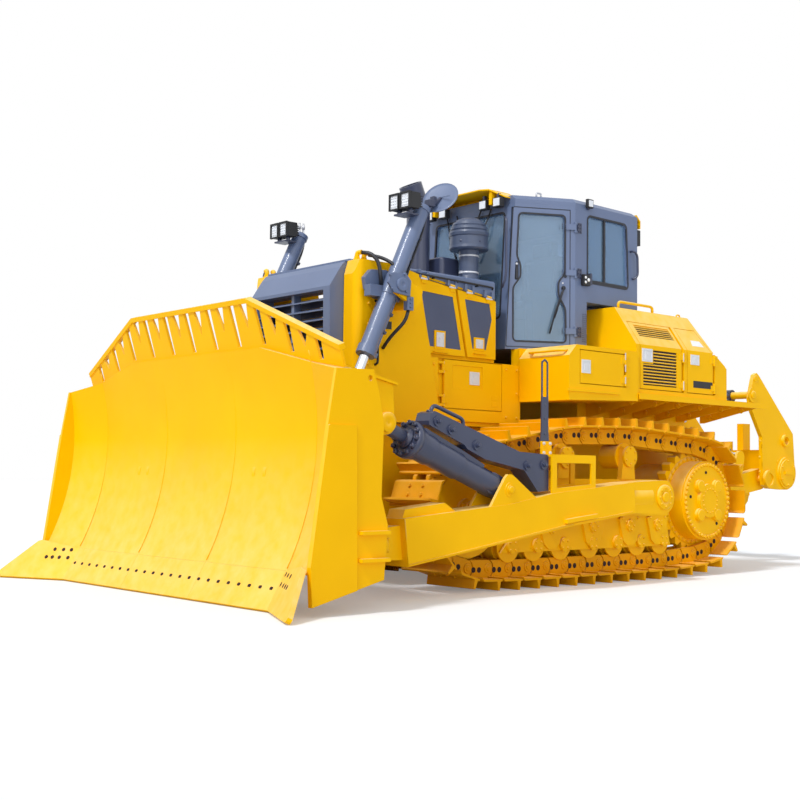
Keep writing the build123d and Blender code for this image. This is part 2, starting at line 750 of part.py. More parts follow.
# ---- Fenders, decks and rear housing --------------------------------------------------------------------
fender_outline = (
    (fender_rear_x, 1800), (fender_rear_x, platform_z), (500, platform_z), (fender_front_x, platform_z - 110),
    (fender_front_x, fender_floor),
)
fender_door_front, fender_door_floor, fender_door_top = 445.0, 1932.0, 2250.0
deck_outer = fender_outer + 20
deck_notch_x = -2340.0         # the decks step outwards behind this to clear the ripper's mount

with BuildPart() as fenders:
    side_solid(fender_outline, waist_half + 5, fender_outer)
    block(fender_rear_x, housing_start_x, hull_half, waist_half + 5, fender_floor + 110, platform_z)
    block(
        fender_hinge[0] - hinge_gap,
        fender_door_front + move_gap,
        fender_outer - 45,
        fender_outer + 1,
        fender_door_floor - move_gap,
        fender_door_top + move_gap,
        Mode.SUBTRACT,
    )
    hinge_lugs(fender_hinge, (-1, 0), (0, 1), fender_hinge_heights)
    mirror(about=Plane.XZ)
with BuildPart() as fender_door_left:
    block(
        fender_hinge[0] + hinge_gap, fender_door_front, fender_outer - 30, fender_outer, fender_door_floor,
        fender_door_top,
    )
    hinge_knuckles(fender_hinge, (1, 0), (0, 1), fender_hinge_heights)
with BuildPart() as fender_door_right:
    mirror(fender_door_left.part, about=Plane.XZ)

with BuildPart() as decks:
    plan_solid(
        (
            (deck_front_x, hull_half - 100), (deck_notch_x, hull_half - 100), (deck_notch_x, hull_half + 40),
            (deck_rear_x, hull_half + 40), (deck_rear_x, deck_outer), (deck_front_x, deck_outer),
        ),
        deck_z - deck_plate,
        deck_z,
    )
    block(deck_rear_x, deck_front_x, deck_outer - deck_plate, deck_outer, deck_z - 60, deck_z - deck_plate)
    for x in (-2600, -2200, -1800, -1400, -1000, -600):
        root = hull_half + 40 if x < deck_notch_x else hull_half
        front_solid(
            (
                (root, deck_z - deck_plate), (root, 1670), (root + 60, 1670),
                (deck_outer - deck_plate, deck_z - 55),
                (deck_outer - deck_plate, deck_z - deck_plate),
            ),
            x,
            x + deck_plate,
        )
    mirror(about=Plane.XZ)

housing_top = 2785.0
slope_start = 1095.0           # the housing's top ends here and its side slopes down to housing_side
slope_foot = 2385.0
slope_way = Vector(housing_side - slope_start, slope_foot - housing_top).normalized()
slope_out = Vector(-slope_way.Y, slope_way.X)
door_seam = 190.0              # the doors' upper edge, this far down the slope
housing_door_thick = 30.0
housing_door_floor = 1935.0
housing_doors = ((housing_hinges[0][0] + hinge_gap, -516.0), (housing_hinges[1][0] + hinge_gap, -1320.0))
door_trim = ((-1675.0, 2640.0), (-1755.0, 2385.0))       # rear door's slanting rear edge, on the slope
louvre_depth = 18.0


def on_slope(along, out=0.0):
    """Point (y, z) down the housing's slope and out from its face."""
    return (
        slope_start + slope_way.X * along + slope_out.X * out,
        housing_top + slope_way.Y * along + slope_out.Y * out,
    )


def slope_height(y, out):
    """Height of the slope, moved out by a distance, at a given y."""
    along = (y - on_slope(0, out)[0]) / slope_way.X
    return on_slope(along, out)[1]


def door_shell(y_out, y_in, upper, floor, out, back):
    """Outline (y, z) of the bent housing door, or of the opening it sits in."""
    return (
        on_slope(upper, out), (y_out, slope_height(y_out, out)), (y_out, floor), (y_in, floor),
        (y_in, slope_height(y_in, back)), on_slope(upper, back),
    )


def trim_slope(margin):
    """Cuts the rear door, or its opening, along its slanting rear edge."""
    (top_x, top_z), (low_x, low_z) = door_trim
    side_solid(
        (
            (top_x - margin, top_z + 100), (top_x - margin, top_z), (low_x - margin, low_z), (-1900, low_z),
            (-1900, top_z + 100),
        ),
        1000,
        1500,
        Mode.SUBTRACT,
    )


housing_cut_section = door_shell(
    housing_side + 20, housing_side - 45, door_seam - move_gap, housing_door_floor - move_gap, 20, -45
)
with BuildPart() as housing_cuts:
    front_solid(housing_cut_section, housing_doors[1][0] - 2 * hinge_gap, housing_doors[1][1] + move_gap)
    trim_slope(move_gap)
    front_solid(housing_cut_section, housing_doors[0][0] - 2 * hinge_gap, housing_doors[0][1] + move_gap)

with BuildPart() as rear_housing:
    front_solid(
        (
            (0, deck_z), (0, housing_top), (slope_start, housing_top), (housing_side, slope_foot),
            (housing_side, deck_z),
        ),
        housing_rear_x,
        housing_front_x,
    )
    plan_solid(
        (
            (housing_front_x + 1, 0), (housing_front_x + 1, cab_foot_y + 30),
            (cab_rear_x - 30, cab_foot_y + 30),
            (cab_rear_x - 30, 0),
        ),
        deck_z - 1,
        3000,
        Mode.SUBTRACT,
    )
    side_solid(
        (
            (-1710, housing_top + 1), (-1795, slope_foot), (-2000, 2262), (housing_rear_x - 1, 2225),
            (housing_rear_x - 1, housing_top + 1),
        ),
        -1,
        housing_side + 1,
        Mode.SUBTRACT,
    )
    add(housing_cuts.part, mode=Mode.SUBTRACT)
    for place in housing_hinges:
        hinge_lugs(place, (-1, 0), (0, 1), housing_hinge_heights)
    mirror(about=Plane.XZ)

housing_door_section = door_shell(
    housing_side, housing_side - housing_door_thick, door_seam, housing_door_floor, 0, -housing_door_thick
)
slope_louvre = (222.0, 372.0)  # along the slope
side_louvre = (1972.0, 2338.0)
louvre_rear, louvre_front = -1129.0, -564.0
slat_thick = 9.0

with BuildPart() as housing_front_door_left:
    front_solid(housing_door_section, *housing_doors[0])
    front_solid(
        (
            on_slope(slope_louvre[0], 1), on_slope(slope_louvre[1], 1),
            on_slope(slope_louvre[1], -louvre_depth),
            on_slope(slope_louvre[0], -louvre_depth),
        ),
        louvre_rear - 55,
        louvre_front - 25,
        Mode.SUBTRACT,
    )
    block(
        louvre_rear, louvre_front, housing_side - louvre_depth, housing_side + 1, *side_louvre, Mode.SUBTRACT
    )
    for row in range(5):
        along = slope_louvre[0] + 14 + row * 28
        front_solid(
            (
                on_slope(along, -louvre_depth - 1), on_slope(along + slat_thick, -louvre_depth - 1),
                on_slope(along + slat_thick, -1), on_slope(along, -1),
            ),
            louvre_rear - 56,
            louvre_front - 24,
        )
    for row in range(11):
        z = side_louvre[0] + 12 + row * 32
        front_solid(
            (
                (housing_side - louvre_depth - 1, z + 14),
                (housing_side - louvre_depth - 1, z + 14 + slat_thick),
                (housing_side - 1, z + slat_thick), (housing_side - 1, z),
            ),
            louvre_rear - 1,
            louvre_front + 1,
        )
    block(-728, -530, housing_side - louvre_depth - 1, housing_side, 2196, 2362)
    hinge_knuckles(housing_hinges[0], (1, 0), (0, 1), housing_hinge_heights)
with BuildPart() as housing_front_door_right:
    mirror(housing_front_door_left.part, about=Plane.XZ)
with BuildPart() as housing_rear_door_left:
    front_solid(housing_door_section, *housing_doors[1])
    trim_slope(0)
    hinge_knuckles(housing_hinges[1], (1, 0), (0, 1), housing_hinge_heights)
with BuildPart() as housing_rear_door_right:
    mirror(housing_rear_door_left.part, about=Plane.XZ)

# ---- Cab -------------------------------------------------------------------------------------------------
door_depth = 57.0              # from the door's outer face to the inside of the cab
cab_plan_left = (
    (cab_rear_x, 0), (cab_rear_x, cab_rear_y), (0, cab_corner_y), (cab_front_x, cab_front_y),
    (cab_front_x, 0),
)
cab_inside_front = cab_front_x - 120
cab_inside_left = (
    (cab_rear_x + cab_wall, -1), (cab_rear_x + cab_wall, cab_rear_y - 50), (0, cab_corner_y - 65),
    (cab_inside_front, cab_front_y), (cab_inside_front, -1),
)
notch_left = (
    (cab_rear_x - 1, cab_foot_y), (cab_rear_x - 1, 1000), (-185, 1000), (-185, 930),
    (housing_front_x, cab_foot_y),
)
lean_outline = (
    (cab_front_x, platform_z), (cab_front_x - cab_lean, cab_eaves_z), (cab_front_x - cab_lean - 5, 4000),
    (800, 4000), (800, platform_z),
)

# The door's plane: along x from the cab's front corner back to the hinge, y up, normal outward
door_run = Vector(-cab_front_x, cab_corner_y - cab_front_y, 0)
door_length = door_run.length
door_plane = Plane(
    origin=(cab_front_x, cab_front_y, platform_z), x_dir=door_run, z_dir=door_run.cross(Vector(0, 0, 1))
)
door_back = door_length - 60
door_foot, door_head = 30.0, 1440.0
door_front_foot, door_front_head = 14.0, 84.0
door_outline = (
    (door_front_foot, door_foot), (door_back, door_foot), (door_back, door_head),
    (door_front_head, door_head),
)
door_window = (
    (148, 1378), (630, 1378), (628, 790), (558, 705), (558, 560), (634, 430), (640, 92), (92, 92), (90, 625),
    (168, 730), (168, 860), (128, 950),
)
door_window_radius = 36.0
handle_pocket = ((98, 700), (142, 700), (142, 890), (108, 890))
rear_run = Vector(cab_rear_x, cab_rear_y - cab_corner_y, 0)
rear_plane = Plane(
    origin=(0, cab_corner_y, platform_z), x_dir=rear_run, z_dir=rear_run.cross(Vector(0, 0, 1))
)
side_window = ((205, 738), (868, 738), (838, 1412), (205, 1412))
side_window_radius = 45.0
screen_rise = Vector(-cab_lean, 0, cab_eaves_z - platform_z)
screen_plane = Plane(
    origin=(cab_front_x, 0, platform_z), x_dir=(0, 1, 0), z_dir=Vector(0, 1, 0).cross(screen_rise)
)
screen_outline = ((-500, 330), (500, 330), (500, 1400), (-500, 1400))
screen_radius = 40.0
back_window = (480.0, platform_z + 700, cab_eaves_z - 120)      # half width, foot, head
glass_gap = 0.3
glass_faces = (-30.0, -24.0)   # the glass lies this far behind the outer face

cab_hinge = (0.0, cab_corner_y)
cab_hinge_heights = (platform_z + 200.0, platform_z + 800.0, platform_z + 1270.0)
door_towards = -door_run.normalized()
rear_towards = rear_run.normalized()


def grown(outline, margin):
    """The outline of a four-sided panel, with its sides moved out by a margin."""
    (a, b), (c, d), (e, f), (g, h) = outline
    return (
        (a - margin, b - margin), (c + margin, d - margin), (e + margin, f + margin), (g - margin, h + margin)
    )


def shrunk(outline, radius, plane, low, high):
    """Adds a pane that fills a rounded opening, a little smaller all round."""
    with BuildSketch(plane.offset(low)) as pane:
        with BuildLine():
            Polyline(*outline, close=True)
        make_face()
        fillet(pane.vertices(), radius)
        offset(amount=-glass_gap, mode=Mode.REPLACE)
    extrude(pane.sketch, amount=high - low)


with BuildPart() as cab_openings:
    panel(door_plane, grown(door_outline, move_gap), -door_depth - 3, 60)
    rounded_panel(rear_plane, side_window, side_window_radius, -cab_wall - 60, 60)
    mirror(about=Plane.XZ)
    rounded_panel(screen_plane, screen_outline, screen_radius, -160, 60)
    block(cab_rear_x - 50, cab_rear_x + 100, -back_window[0], back_window[0], back_window[1], back_window[2])
with BuildPart() as cab_shell:
    plan_solid(cab_plan_left, platform_z, cab_eaves_z)
    plan_solid(notch_left, platform_z - 1, cab_notch_z, Mode.SUBTRACT)
    plan_solid(cab_inside_left, cab_notch_z + cab_wall, cab_eaves_z + 10, Mode.SUBTRACT)
    plan_solid(
        (
            (cab_rear_x + cab_wall, -1), (cab_rear_x + cab_wall, cab_foot_y - 50),
            (housing_front_x, cab_foot_y - 50),
            (-200, cab_corner_y - 70), (0, cab_corner_y - 65), (cab_inside_front, cab_front_y),
            (cab_inside_front, -1),
        ),
        platform_z + cab_wall,
        cab_notch_z + cab_wall + 1,
        Mode.SUBTRACT,
    )
    mirror(about=Plane.XZ)
    side_solid(lean_outline, -cab_corner_y, cab_corner_y, Mode.SUBTRACT)
    add(cab_openings.part, mode=Mode.SUBTRACT)
    for side in (1, -1):
        place = (cab_hinge[0], side * cab_hinge[1])
        for height in cab_hinge_heights:
            upright_pin(
                *place, knuckle_radius + 6, height - knuckle_length / 2 - 5, height + knuckle_length / 2 + 5,
                Mode.SUBTRACT,
            )
        hinge_lugs(
            place, (rear_towards.X, side * rear_towards.Y),
            (-abs(rear_towards.Y), side * abs(rear_towards.X)),
            cab_hinge_heights,
        )

visor_front, visor_rear = 770.0, 420.0
visor_outline = (
    # (y, z) section of the bent visor, over the windscreen and the roof's front edge
    (576, 3852), (415, 3940), (-415, 3940), (-576, 3852), (-576, 3840), (-415, 3926), (415, 3926),
    (576, 3840),
)
roof_rise = 82.0

with BuildPart() as cab_roof:
    with BuildSketch(Plane.XY.offset(cab_eaves_z)) as roof_plan:
        with BuildLine():
            right = [(x, -y) for x, y in reversed(cab_plan_left)]
            Polyline(*cab_plan_left[1:4], *right[1:4], close=True)
        make_face()
    extrude(roof_plan.sketch, amount=roof_rise)
    chamfer(cab_roof.faces().sort_by(Axis.Z)[-1].edges(), 45)
    side_solid(lean_outline, -cab_corner_y, cab_corner_y, Mode.SUBTRACT)

with BuildPart() as cab_visors:
    front_solid(visor_outline, visor_rear, visor_front)
    for side in (1, -1):
        plan_solid(
            (
                (visor_front - 150, side * 600), (visor_front, side * 330), (visor_front + 1, side * 330),
                (visor_front + 1, side * 600),
            ),
            3800,
            3960,
            Mode.SUBTRACT,
        )
        low, high = sorted((side * 400, side * 440))
        block(440, 700, low, high, 3780, 3930)
    block(420, 445, -400, 400, cab_eaves_z + roof_rise - 2, 3928)
    side_solid(
        (
            (-900, cab_eaves_z + roof_rise - 2), (-1100, cab_eaves_z + 30), (-1105, 3835), (-1090, 3848),
            (-900, 3936), (-880, 3932),
        ),
        -560,
        560,
    )
    add(cab_roof.part, mode=Mode.SUBTRACT)
    add(cab_shell.part, mode=Mode.SUBTRACT)

door_thick = 45.0
with BuildPart() as cab_door_left:
    panel(door_plane, door_outline, -door_thick, 0)
    rounded_panel(door_plane, door_window, door_window_radius, -door_thick - 1, 1, Mode.SUBTRACT)
    rounded_panel(door_plane, handle_pocket, 15, -14, 1, Mode.SUBTRACT)
    for height in cab_hinge_heights:
        low, high = height - knuckle_length / 2, height + knuckle_length / 2
        upright_pin(*cab_hinge, knuckle_radius, low, high)
        towards, outward = (door_towards.X, door_towards.Y), (-door_towards.Y, door_towards.X)
        leaf(cab_hinge, towards, outward, (0, 105), (6, 14), low, high)
        leaf(cab_hinge, towards, outward, (63, 105), (-1, 14), low, high)
        upright_pin(*cab_hinge, hinge_pin_radius + 0.05, low, high, Mode.SUBTRACT)
with BuildPart() as cab_door_right:
    mirror(cab_door_left.part, about=Plane.XZ)
with BuildPart() as door_glass_left:
    shrunk(door_window, door_window_radius, door_plane, *glass_faces)
with BuildPart() as door_glass_right:
    mirror(door_glass_left.part, about=Plane.XZ)
with BuildPart() as cab_glass:
    shrunk(side_window, side_window_radius, rear_plane, *glass_faces)
    mirror(about=Plane.XZ)
    shrunk(screen_outline, screen_radius, screen_plane, *glass_faces)
    half, foot, head = back_window
    block(
        cab_rear_x - glass_faces[1], cab_rear_x - glass_faces[0], -half + glass_gap, half - glass_gap,
        foot + glass_gap, head - glass_gap,
    )

with BuildPart() as operator_station:
    cab_floor = platform_z + cab_wall
    block(-520, -20, -250, 250, cab_floor, cab_floor + 330)
    block(-540, 20, -270, 270, cab_floor + 330, cab_floor + 450)
    side_solid(
        ((-420, cab_floor + 440), (-540, cab_floor + 1080), (-660, cab_floor + 1060),
        (-540, cab_floor + 440)),
        -240,
        240,
    )
    side_solid(
        ((-560, cab_floor + 1050), (-575, cab_floor + 1250), (-655, cab_floor + 1240),
        (-640, cab_floor + 1050)),
        -140,
        140,
    )
    for low, high in ((-400, -300), (300, 400)):
        side_solid(
            (
                (-480, cab_floor + 60), (-480, cab_floor + 640), (60, cab_floor + 620),
                (120, cab_floor + 560),
                (40, cab_floor + 500), (20, cab_floor + 60),
            ),
            low,
            high,
        )
    block(-520, 20, -400, 400, cab_floor, cab_floor + 60)
    for y in (-350, 350):
        bar((60, y, cab_floor + 560), (85, y, cab_floor + 820), 16)
        bar((84, y, cab_floor + 790), (90, y, cab_floor + 870), 30)
    side_solid(
        (
            (430, cab_floor), (400, cab_floor + 700), (300, cab_floor + 760), (270, cab_floor + 700),
            (300, cab_floor),
        ),
        -300,
        300,
    )
    block(20, 260, -320, 320, cab_floor, cab_floor + 15)
    block(259, 301, -320, 320, cab_floor, cab_floor + 15)

# ---- Push arms ------------------------------------------------------------------------------------
post_x = 1055.0
post_plate = 25.0
arm_outline = (
    (110, 690), (1002, 585), (3003, 295), (3048, 678), (1826, 786), (1266, 879), (128, 982),
)
with BuildPart() as push_arm_left:
    side_solid(arm_outline, arm_inner, arm_outer)
    rounded_link((trunnion_x, trunnion_z), (160, 836), 165, 146, arm_inner + 20, arm_outer - 25)
    bar((160, arm_mid, 836), (-190, arm_mid, 839), 134)
    cross_pin(trunnion_x, trunnion_z, 90.5, arm_inner, arm_outer - 58, Mode.SUBTRACT)
    rounded_link((2990, 487), (arm_pin_x, arm_pin_z), 140, 120, arm_mid - 80, arm_mid + 80)
    cross_pin(arm_pin_x, arm_pin_z, arm_pin_radius + 0.05, arm_inner, arm_outer, Mode.SUBTRACT)
    for low in (arm_mid - 135, arm_mid + 105):
        side_solid(
            ((1480, 830), (1770, 1020), (1810, 1042), (1855, 1042), (1890, 1010), (2080, 740)), low, low + 30
        )
        cross_pin(brace_rear_x, brace_rear_z, 62, low - 6, low + 36)
    cross_pin(brace_rear_x, brace_rear_z, brace_pin_radius, arm_mid - 150, arm_mid + 150)
    for low in (arm_outer - 20, arm_mid - 130):
        side_solid(((1284, 870), (1284, 1205), (684, 1205), (684, 915)), low - 10, low + 10)
        side_solid(((1220, 925), (1220, 1150), (748, 1150), (748, 960)), low - 11, low + 11, Mode.SUBTRACT)
    block(684, 1284, arm_mid - 140, arm_outer - 10, 1205, 1225)
    # Plate for the track-side post, step on the outer face, wedge over the front end, seam plates
    block(post_x - 65, post_x + 65, arm_inner - post_plate, arm_inner, 1130, 1350)
    side_solid(((700, 655), (1130, 610), (1130, 648), (700, 693)), arm_outer, arm_outer + 38)
    side_solid(((2430, 724), (2560, 800), (3000, 750), (3030, 670)), arm_inner + 45, arm_outer - 45)
    side_solid(
        ((160, 700), (1002, 605), (2900, 322), (2900, 330), (1004, 613), (160, 708)), arm_outer, arm_outer + 8
    )
with BuildPart() as push_arm_right:
    mirror(push_arm_left.part, about=Plane.XZ)

brace_line = Vector(brace_front_x - brace_rear_x, 0, brace_front_z - brace_rear_z).normalized()


def on_brace(along, up):
    """Point (x, z) at a distance along the brace cylinder and up from its axis."""
    return (
        brace_rear_x + brace_line.X * along - brace_line.Z * up,
        brace_rear_z + brace_line.Z * along + brace_line.X * up,
    )


with BuildPart() as brace_guards:
    guard_y = (arm_mid - 85, arm_mid + 85)
    side_solid(
        (
            on_brace(1035, 170), on_brace(1050, 200), on_brace(1050, 270), on_brace(1015, 300), (1660, 1240),
            (1300, 1222), (1284.5, 1205), (1284.5, 900), (1420, 890), (1600, 1080), on_brace(330, 150),
            on_brace(560, 150), on_brace(600, 170),
        ),
        *guard_y,
    )
    for x, z in (on_brace(960, 232), on_brace(790, 228), on_brace(470, 220), (1560, 1120), (1350, 1130)):
        cross_pin(x, z, 44, guard_y[1], guard_y[1] + 14)
        cross_pin(x, z, 22, guard_y[1] + 14, guard_y[1] + 26)
    # Post and loop beside the track
    post_face = arm_inner - post_plate
    side_solid(
        (
            (post_x - 62, 1300), (post_x + 62, 1300), (post_x + 46, 1450), (post_x + 46, 1760),
            (post_x - 46, 1760), (post_x - 46, 1450),
        ),
        post_face - 12,
        post_face,
    )
    for x in (post_x - 37, post_x + 37):
        bar((x, post_face - 6, 1740), (x, post_face - 6, 2080), 9)
    bar((post_x - 37, post_face - 6, 2080), (post_x, post_face - 6, 2104), 9)
    bar((post_x + 37, post_face - 6, 2080), (post_x, post_face - 6, 2104), 9)
    mirror(about=Plane.XZ)

# ---- Brace cylinders ------------------------------------------------------------------------------
brace_bore = 55.3
brace_rod_radius = 55.0
brace_barrel = (
    # distance along the axis where each length starts and ends, and its radius
    (110, 1040, 105), (560, 900, 118), (900, 1040, 128), (1040, 1080, 140), (1080, 1096, 84),
)
brace_reach = math.hypot(brace_front_x - brace_rear_x, brace_front_z - brace_rear_z)


def brace_bar(start, end, radius, mode=Mode.ADD):
    """Adds a round bar along the brace cylinder's axis."""
    (start_x, start_z), (end_x, end_z) = on_brace(start, 0), on_brace(end, 0)
    bar((start_x, arm_mid, start_z), (end_x, arm_mid, end_z), radius, mode)


with BuildPart() as brace_barrels:
    for start, end, radius in brace_barrel:
        brace_bar(start, end, radius)
    rounded_link((brace_rear_x, brace_rear_z), on_brace(150, 0), 85, 95, arm_mid - 70, arm_mid + 70)
    cross_pin(
        brace_rear_x, brace_rear_z, brace_pin_radius + 0.05, arm_mid - 100, arm_mid + 100, Mode.SUBTRACT
    )
    brace_bar(260, 1100, brace_bore, Mode.SUBTRACT)
    mirror(about=Plane.XZ)
with BuildPart() as brace_rods:
    brace_bar(400, brace_reach - 60, brace_rod_radius)
    cross_pin(brace_front_x, brace_front_z, 85, arm_mid - 60, arm_mid + 60)
    mirror(about=Plane.XZ)

# ---- Blade -----------------------------------------------------------------------------------------
wing_start, wing_end = 1649.0, 2088.0      # the blade's wings reach forward between these widths
wing_push = 129.0
face_foot, face_middle, face_top = (4077.0, 301.0), (3818.5, 1190.0), (3950.0, 2080.0)
shell_thick = 40.0
end_plate_thick = 30.0
doubler_thick = 15.0
back_x = 3560.0                # rear of the beams behind the blade's shell
blade_top = 2026.0
top_corner_y = 1021.0
wing_step_z, wing_top_z = 1874.0, 1797.0
above_blade = 2300.0
ear_caps = 15.0                # a pin's ends stand this far out of its ears

shell_back = tuple((x - shell_thick, z) for x, z in (face_foot, face_middle, face_top))
beam_outlines = (
    # (x, z) corners of each beam that runs along the blade's back
    ((4045, 301), (3900, 640), (back_x, 640), (back_x, 301)),
    ((3815, 1010), (3790, 1300), (3620, 1240), (3620, 1070)),
    ((3815, 1690), (3900, 2040), (3650, 2040), (3620, 1690)),
)
rib_places = (200.0, 700.0, 1140.0, 1380.0, 1900.0)
end_plate_outline = (
    (4004, wing_top_z), (3650, 1808), (3597, 1658), (3542, 1412), (3558, 859), (3492, 649), (3523, 242),
    (4205, 75), (4222, 360), (4076, 1377),
)
doubler_outline = ((4076, 1377), (4064, 1383), (3814, 1383), (3790, 177), (4205, 75), (4222, 360))
brace_bracket_outline = (
    (3130, 1460), (3150, 1740), (3700, 1850), (3765, 1500), (3700, 1000), (3290, 1345),
)
wing_way = Vector(wing_push, wing_end - wing_start, 0)


def moldboard_section(y):
    """The blade shell's curved section at a width."""
    with BuildSketch(Plane.XZ.offset(-y)) as section:
        with BuildLine():
            front = ThreePointArc(face_foot, face_middle, face_top)
            back = ThreePointArc(*shell_back)
            Line(front @ 0, back @ 0)
            Line(front @ 1, back @ 1)
        make_face()
    return section.sketch


def beam_section(outline, y):
    """A beam's section at a width."""
    with BuildSketch(Plane.XZ.offset(-y)) as section:
        with BuildLine():
            Polyline(*outline, close=True)
        make_face()
    return section.sketch


def blade_rib(y):
    """Adds an upright rib to the beams; a rib in the wings reaches into the shell."""
    shift = max(0.0, y + 2 * plate - wing_start) / (wing_end - wing_start) * wing_push
    with BuildSketch(Plane.XZ.offset(-y - plate)) as section:
        with BuildLine():
            back = ThreePointArc(*[(x + shift, z) for x, z in shell_back])
            rear = ((3660 + shift, 2000), (3600 + shift, 1400), (back_x + shift, 500), (back_x + shift, 301))
            Polyline(back @ 1, *rear, back @ 0)
        make_face()
    extrude(section.sketch, amount=plate)


def both_sides(y_low, y_high):
    """The y limits of a piece and of its twin on the other side."""
    return ((y_low, y_high), (-y_high, -y_low))


with BuildPart() as blade:
    extrude(moldboard_section(0), amount=wing_start, both=True)
    extrude(moldboard_section(wing_start), amount=wing_way.length, dir=wing_way.normalized())
    for outline in beam_outlines:
        side_solid(outline, 0, wing_start)
        extrude(beam_section(outline, wing_start), amount=wing_way.length, dir=wing_way.normalized())
    for y in rib_places:
        blade_rib(y)
    mirror(about=Plane.XZ)
    for side in (1, -1):
        front_solid(
            (
                (side * top_corner_y, blade_top), (side * wing_start, wing_step_z),
                (side * wing_end, wing_top_z), (side * 2300, wing_top_z), (side * 2300, above_blade),
                (side * top_corner_y, above_blade),
            ),
            3300,
            4300,
            Mode.SUBTRACT,
        )
    block(3300, 4300, -top_corner_y, top_corner_y, blade_top, above_blade, Mode.SUBTRACT)
    for low, high in both_sides(wing_end, wing_end + end_plate_thick):
        side_solid(end_plate_outline, low, high)
        cross_pin(3681, 1740, 22, low, high, Mode.SUBTRACT)
    doubler_face = wing_end + end_plate_thick
    for low, high in both_sides(doubler_face, doubler_face + doubler_thick):
        side_solid(doubler_outline, low, high)
    for z in (595, 393):
        for low, high in both_sides(doubler_face, doubler_face + 50):
            block(3500, 3775, low, high, z - 14, z + 14)
    # Ears for the push arms, braces and lift cylinders
    for inner, outer in ((arm_mid - 140, arm_mid - 100), (arm_mid + 100, arm_mid + 140)):
        for low, high in both_sides(inner, outer):
            rounded_link((arm_pin_x, arm_pin_z), (3600, arm_pin_z), 135, 170, low, high)
    for low, high in both_sides(arm_mid - 140 - ear_caps, arm_mid + 140 + ear_caps):
        cross_pin(arm_pin_x, arm_pin_z, arm_pin_radius, low, high)
    for low, high in both_sides(arm_mid + 140, arm_mid + 150):
        cross_pin(arm_pin_x, arm_pin_z, 112, low, high)
    for inner, outer in ((arm_mid - 105, arm_mid - 75), (arm_mid + 75, arm_mid + 105)):
        for low, high in both_sides(inner, outer):
            side_solid(brace_bracket_outline, low, high)
            cross_pin(brace_front_x, brace_front_z, 98, low, high)
    for low, high in both_sides(arm_mid + 105, arm_mid + 105 + ear_caps):
        cross_pin(brace_front_x, brace_front_z, 80, low, high)
        cross_pin(brace_front_x, brace_front_z, brace_pin_radius, low + ear_caps, high + 8)
    for low, high in both_sides(arm_mid - 120, arm_mid + 130):
        side_solid(((3120, 1735), (3120, 1757), (3700, 1872), (3700, 1850)), low, high)
    for inner, outer in ((lift_y - 95, lift_y - 55), (lift_y + 55, lift_y + 95)):
        for low, high in both_sides(inner, outer):
            rounded_link((lift_eye_x, lift_eye_z), (3640, lift_eye_z + 60), 90, 200, low, high)
    for inner, outer in ((lift_y - 95 - ear_caps, lift_y - 95), (lift_y + 95, lift_y + 95 + ear_caps)):
        for low, high in both_sides(inner, outer):
            cross_pin(lift_eye_x, lift_eye_z, 45, low, high)

# ---- Cutting edges: three plates between two end bits --------------------------------------------------
edge_thick = 38.0
edge_top, edge_foot = Vector(4083.4, 0, 301.0), Vector(4247.0, 0, 20.0)
edge_half = 1642.0
edge_plates = ((-edge_half, -548.0), (-546.0, 546.0), (548.0, edge_half))
edge_way = (edge_foot - edge_top).normalized()
edge_outline = (
    (edge_top.X, edge_top.Z),
    (edge_foot.X, edge_foot.Z),
    (edge_foot.X + edge_thick * edge_way.Z, edge_foot.Z - edge_thick * edge_way.X),
    (edge_top.X + edge_thick / edge_way.Z, edge_top.Z),
)
bit_foot, bit_tip = Vector(edge_foot.X, edge_half, 20), Vector(4588, 2338, 19)
bit_top = Vector(edge_top.X, edge_half, edge_top.Z)
bit_run = bit_tip - bit_foot
bit_length = bit_run.length
bit_plane = Plane(origin=bit_foot, x_dir=bit_run, z_dir=bit_run.cross(bit_top - bit_foot))

with BuildPart() as cutting_edges:
    with BuildSketch(bit_plane.offset(-edge_thick)) as bit_face:
        with BuildLine():
            Polyline(
                (-60, 0), (bit_length - 22, 0), (bit_length, 16), (bit_length, 42), (425, 378),
                (385, 389), (350, 387),
                (-140, 306), close=True,
            )
        make_face()
    extrude(bit_face.sketch, amount=edge_thick)
    block(3900, 4300, edge_half - 200, edge_half, -50, 500, Mode.SUBTRACT)
    extrude(
        moldboard_section(wing_start), amount=wing_way.length, dir=wing_way.normalized(), mode=Mode.SUBTRACT
    )
    block(3900, 4200, edge_half, wing_start, 301, 400, Mode.SUBTRACT)
    mirror(about=Plane.XZ)
    for start, end in edge_plates:
        side_solid(edge_outline, start, end)

# ---- Spill guard on top of the blade ----------------------------------------------------------------------
guard_lean = math.radians(17.4)
guard_thick = 25.0
guard_half_top, guard_reach, guard_rise = 915.0, 1964.0, 420.0
guard_drop = 460.0             # the upper edge falls this far towards the guard's ends
rail_height = 42.0
slot_pitch = 345.0
guard_plane = Plane(
    origin=(3875, 0, blade_top), x_dir=(0, 1, 0), z_dir=(math.cos(guard_lean), 0, -math.sin(guard_lean))
)


def guard_top_at(y):
    """Height of the guard's upper edge in its own plane."""
    over = max(0.0, abs(y) - guard_half_top)
    return guard_rise - over * guard_drop / (guard_reach - guard_half_top)


def guard_foot_at(y):
    """Height of the blade's upper edge in the guard's plane."""
    first = min(max(0.0, abs(y) - top_corner_y), wing_start - top_corner_y)
    second = max(0.0, abs(y) - wing_start)
    return -first * 0.25 - second * 0.181


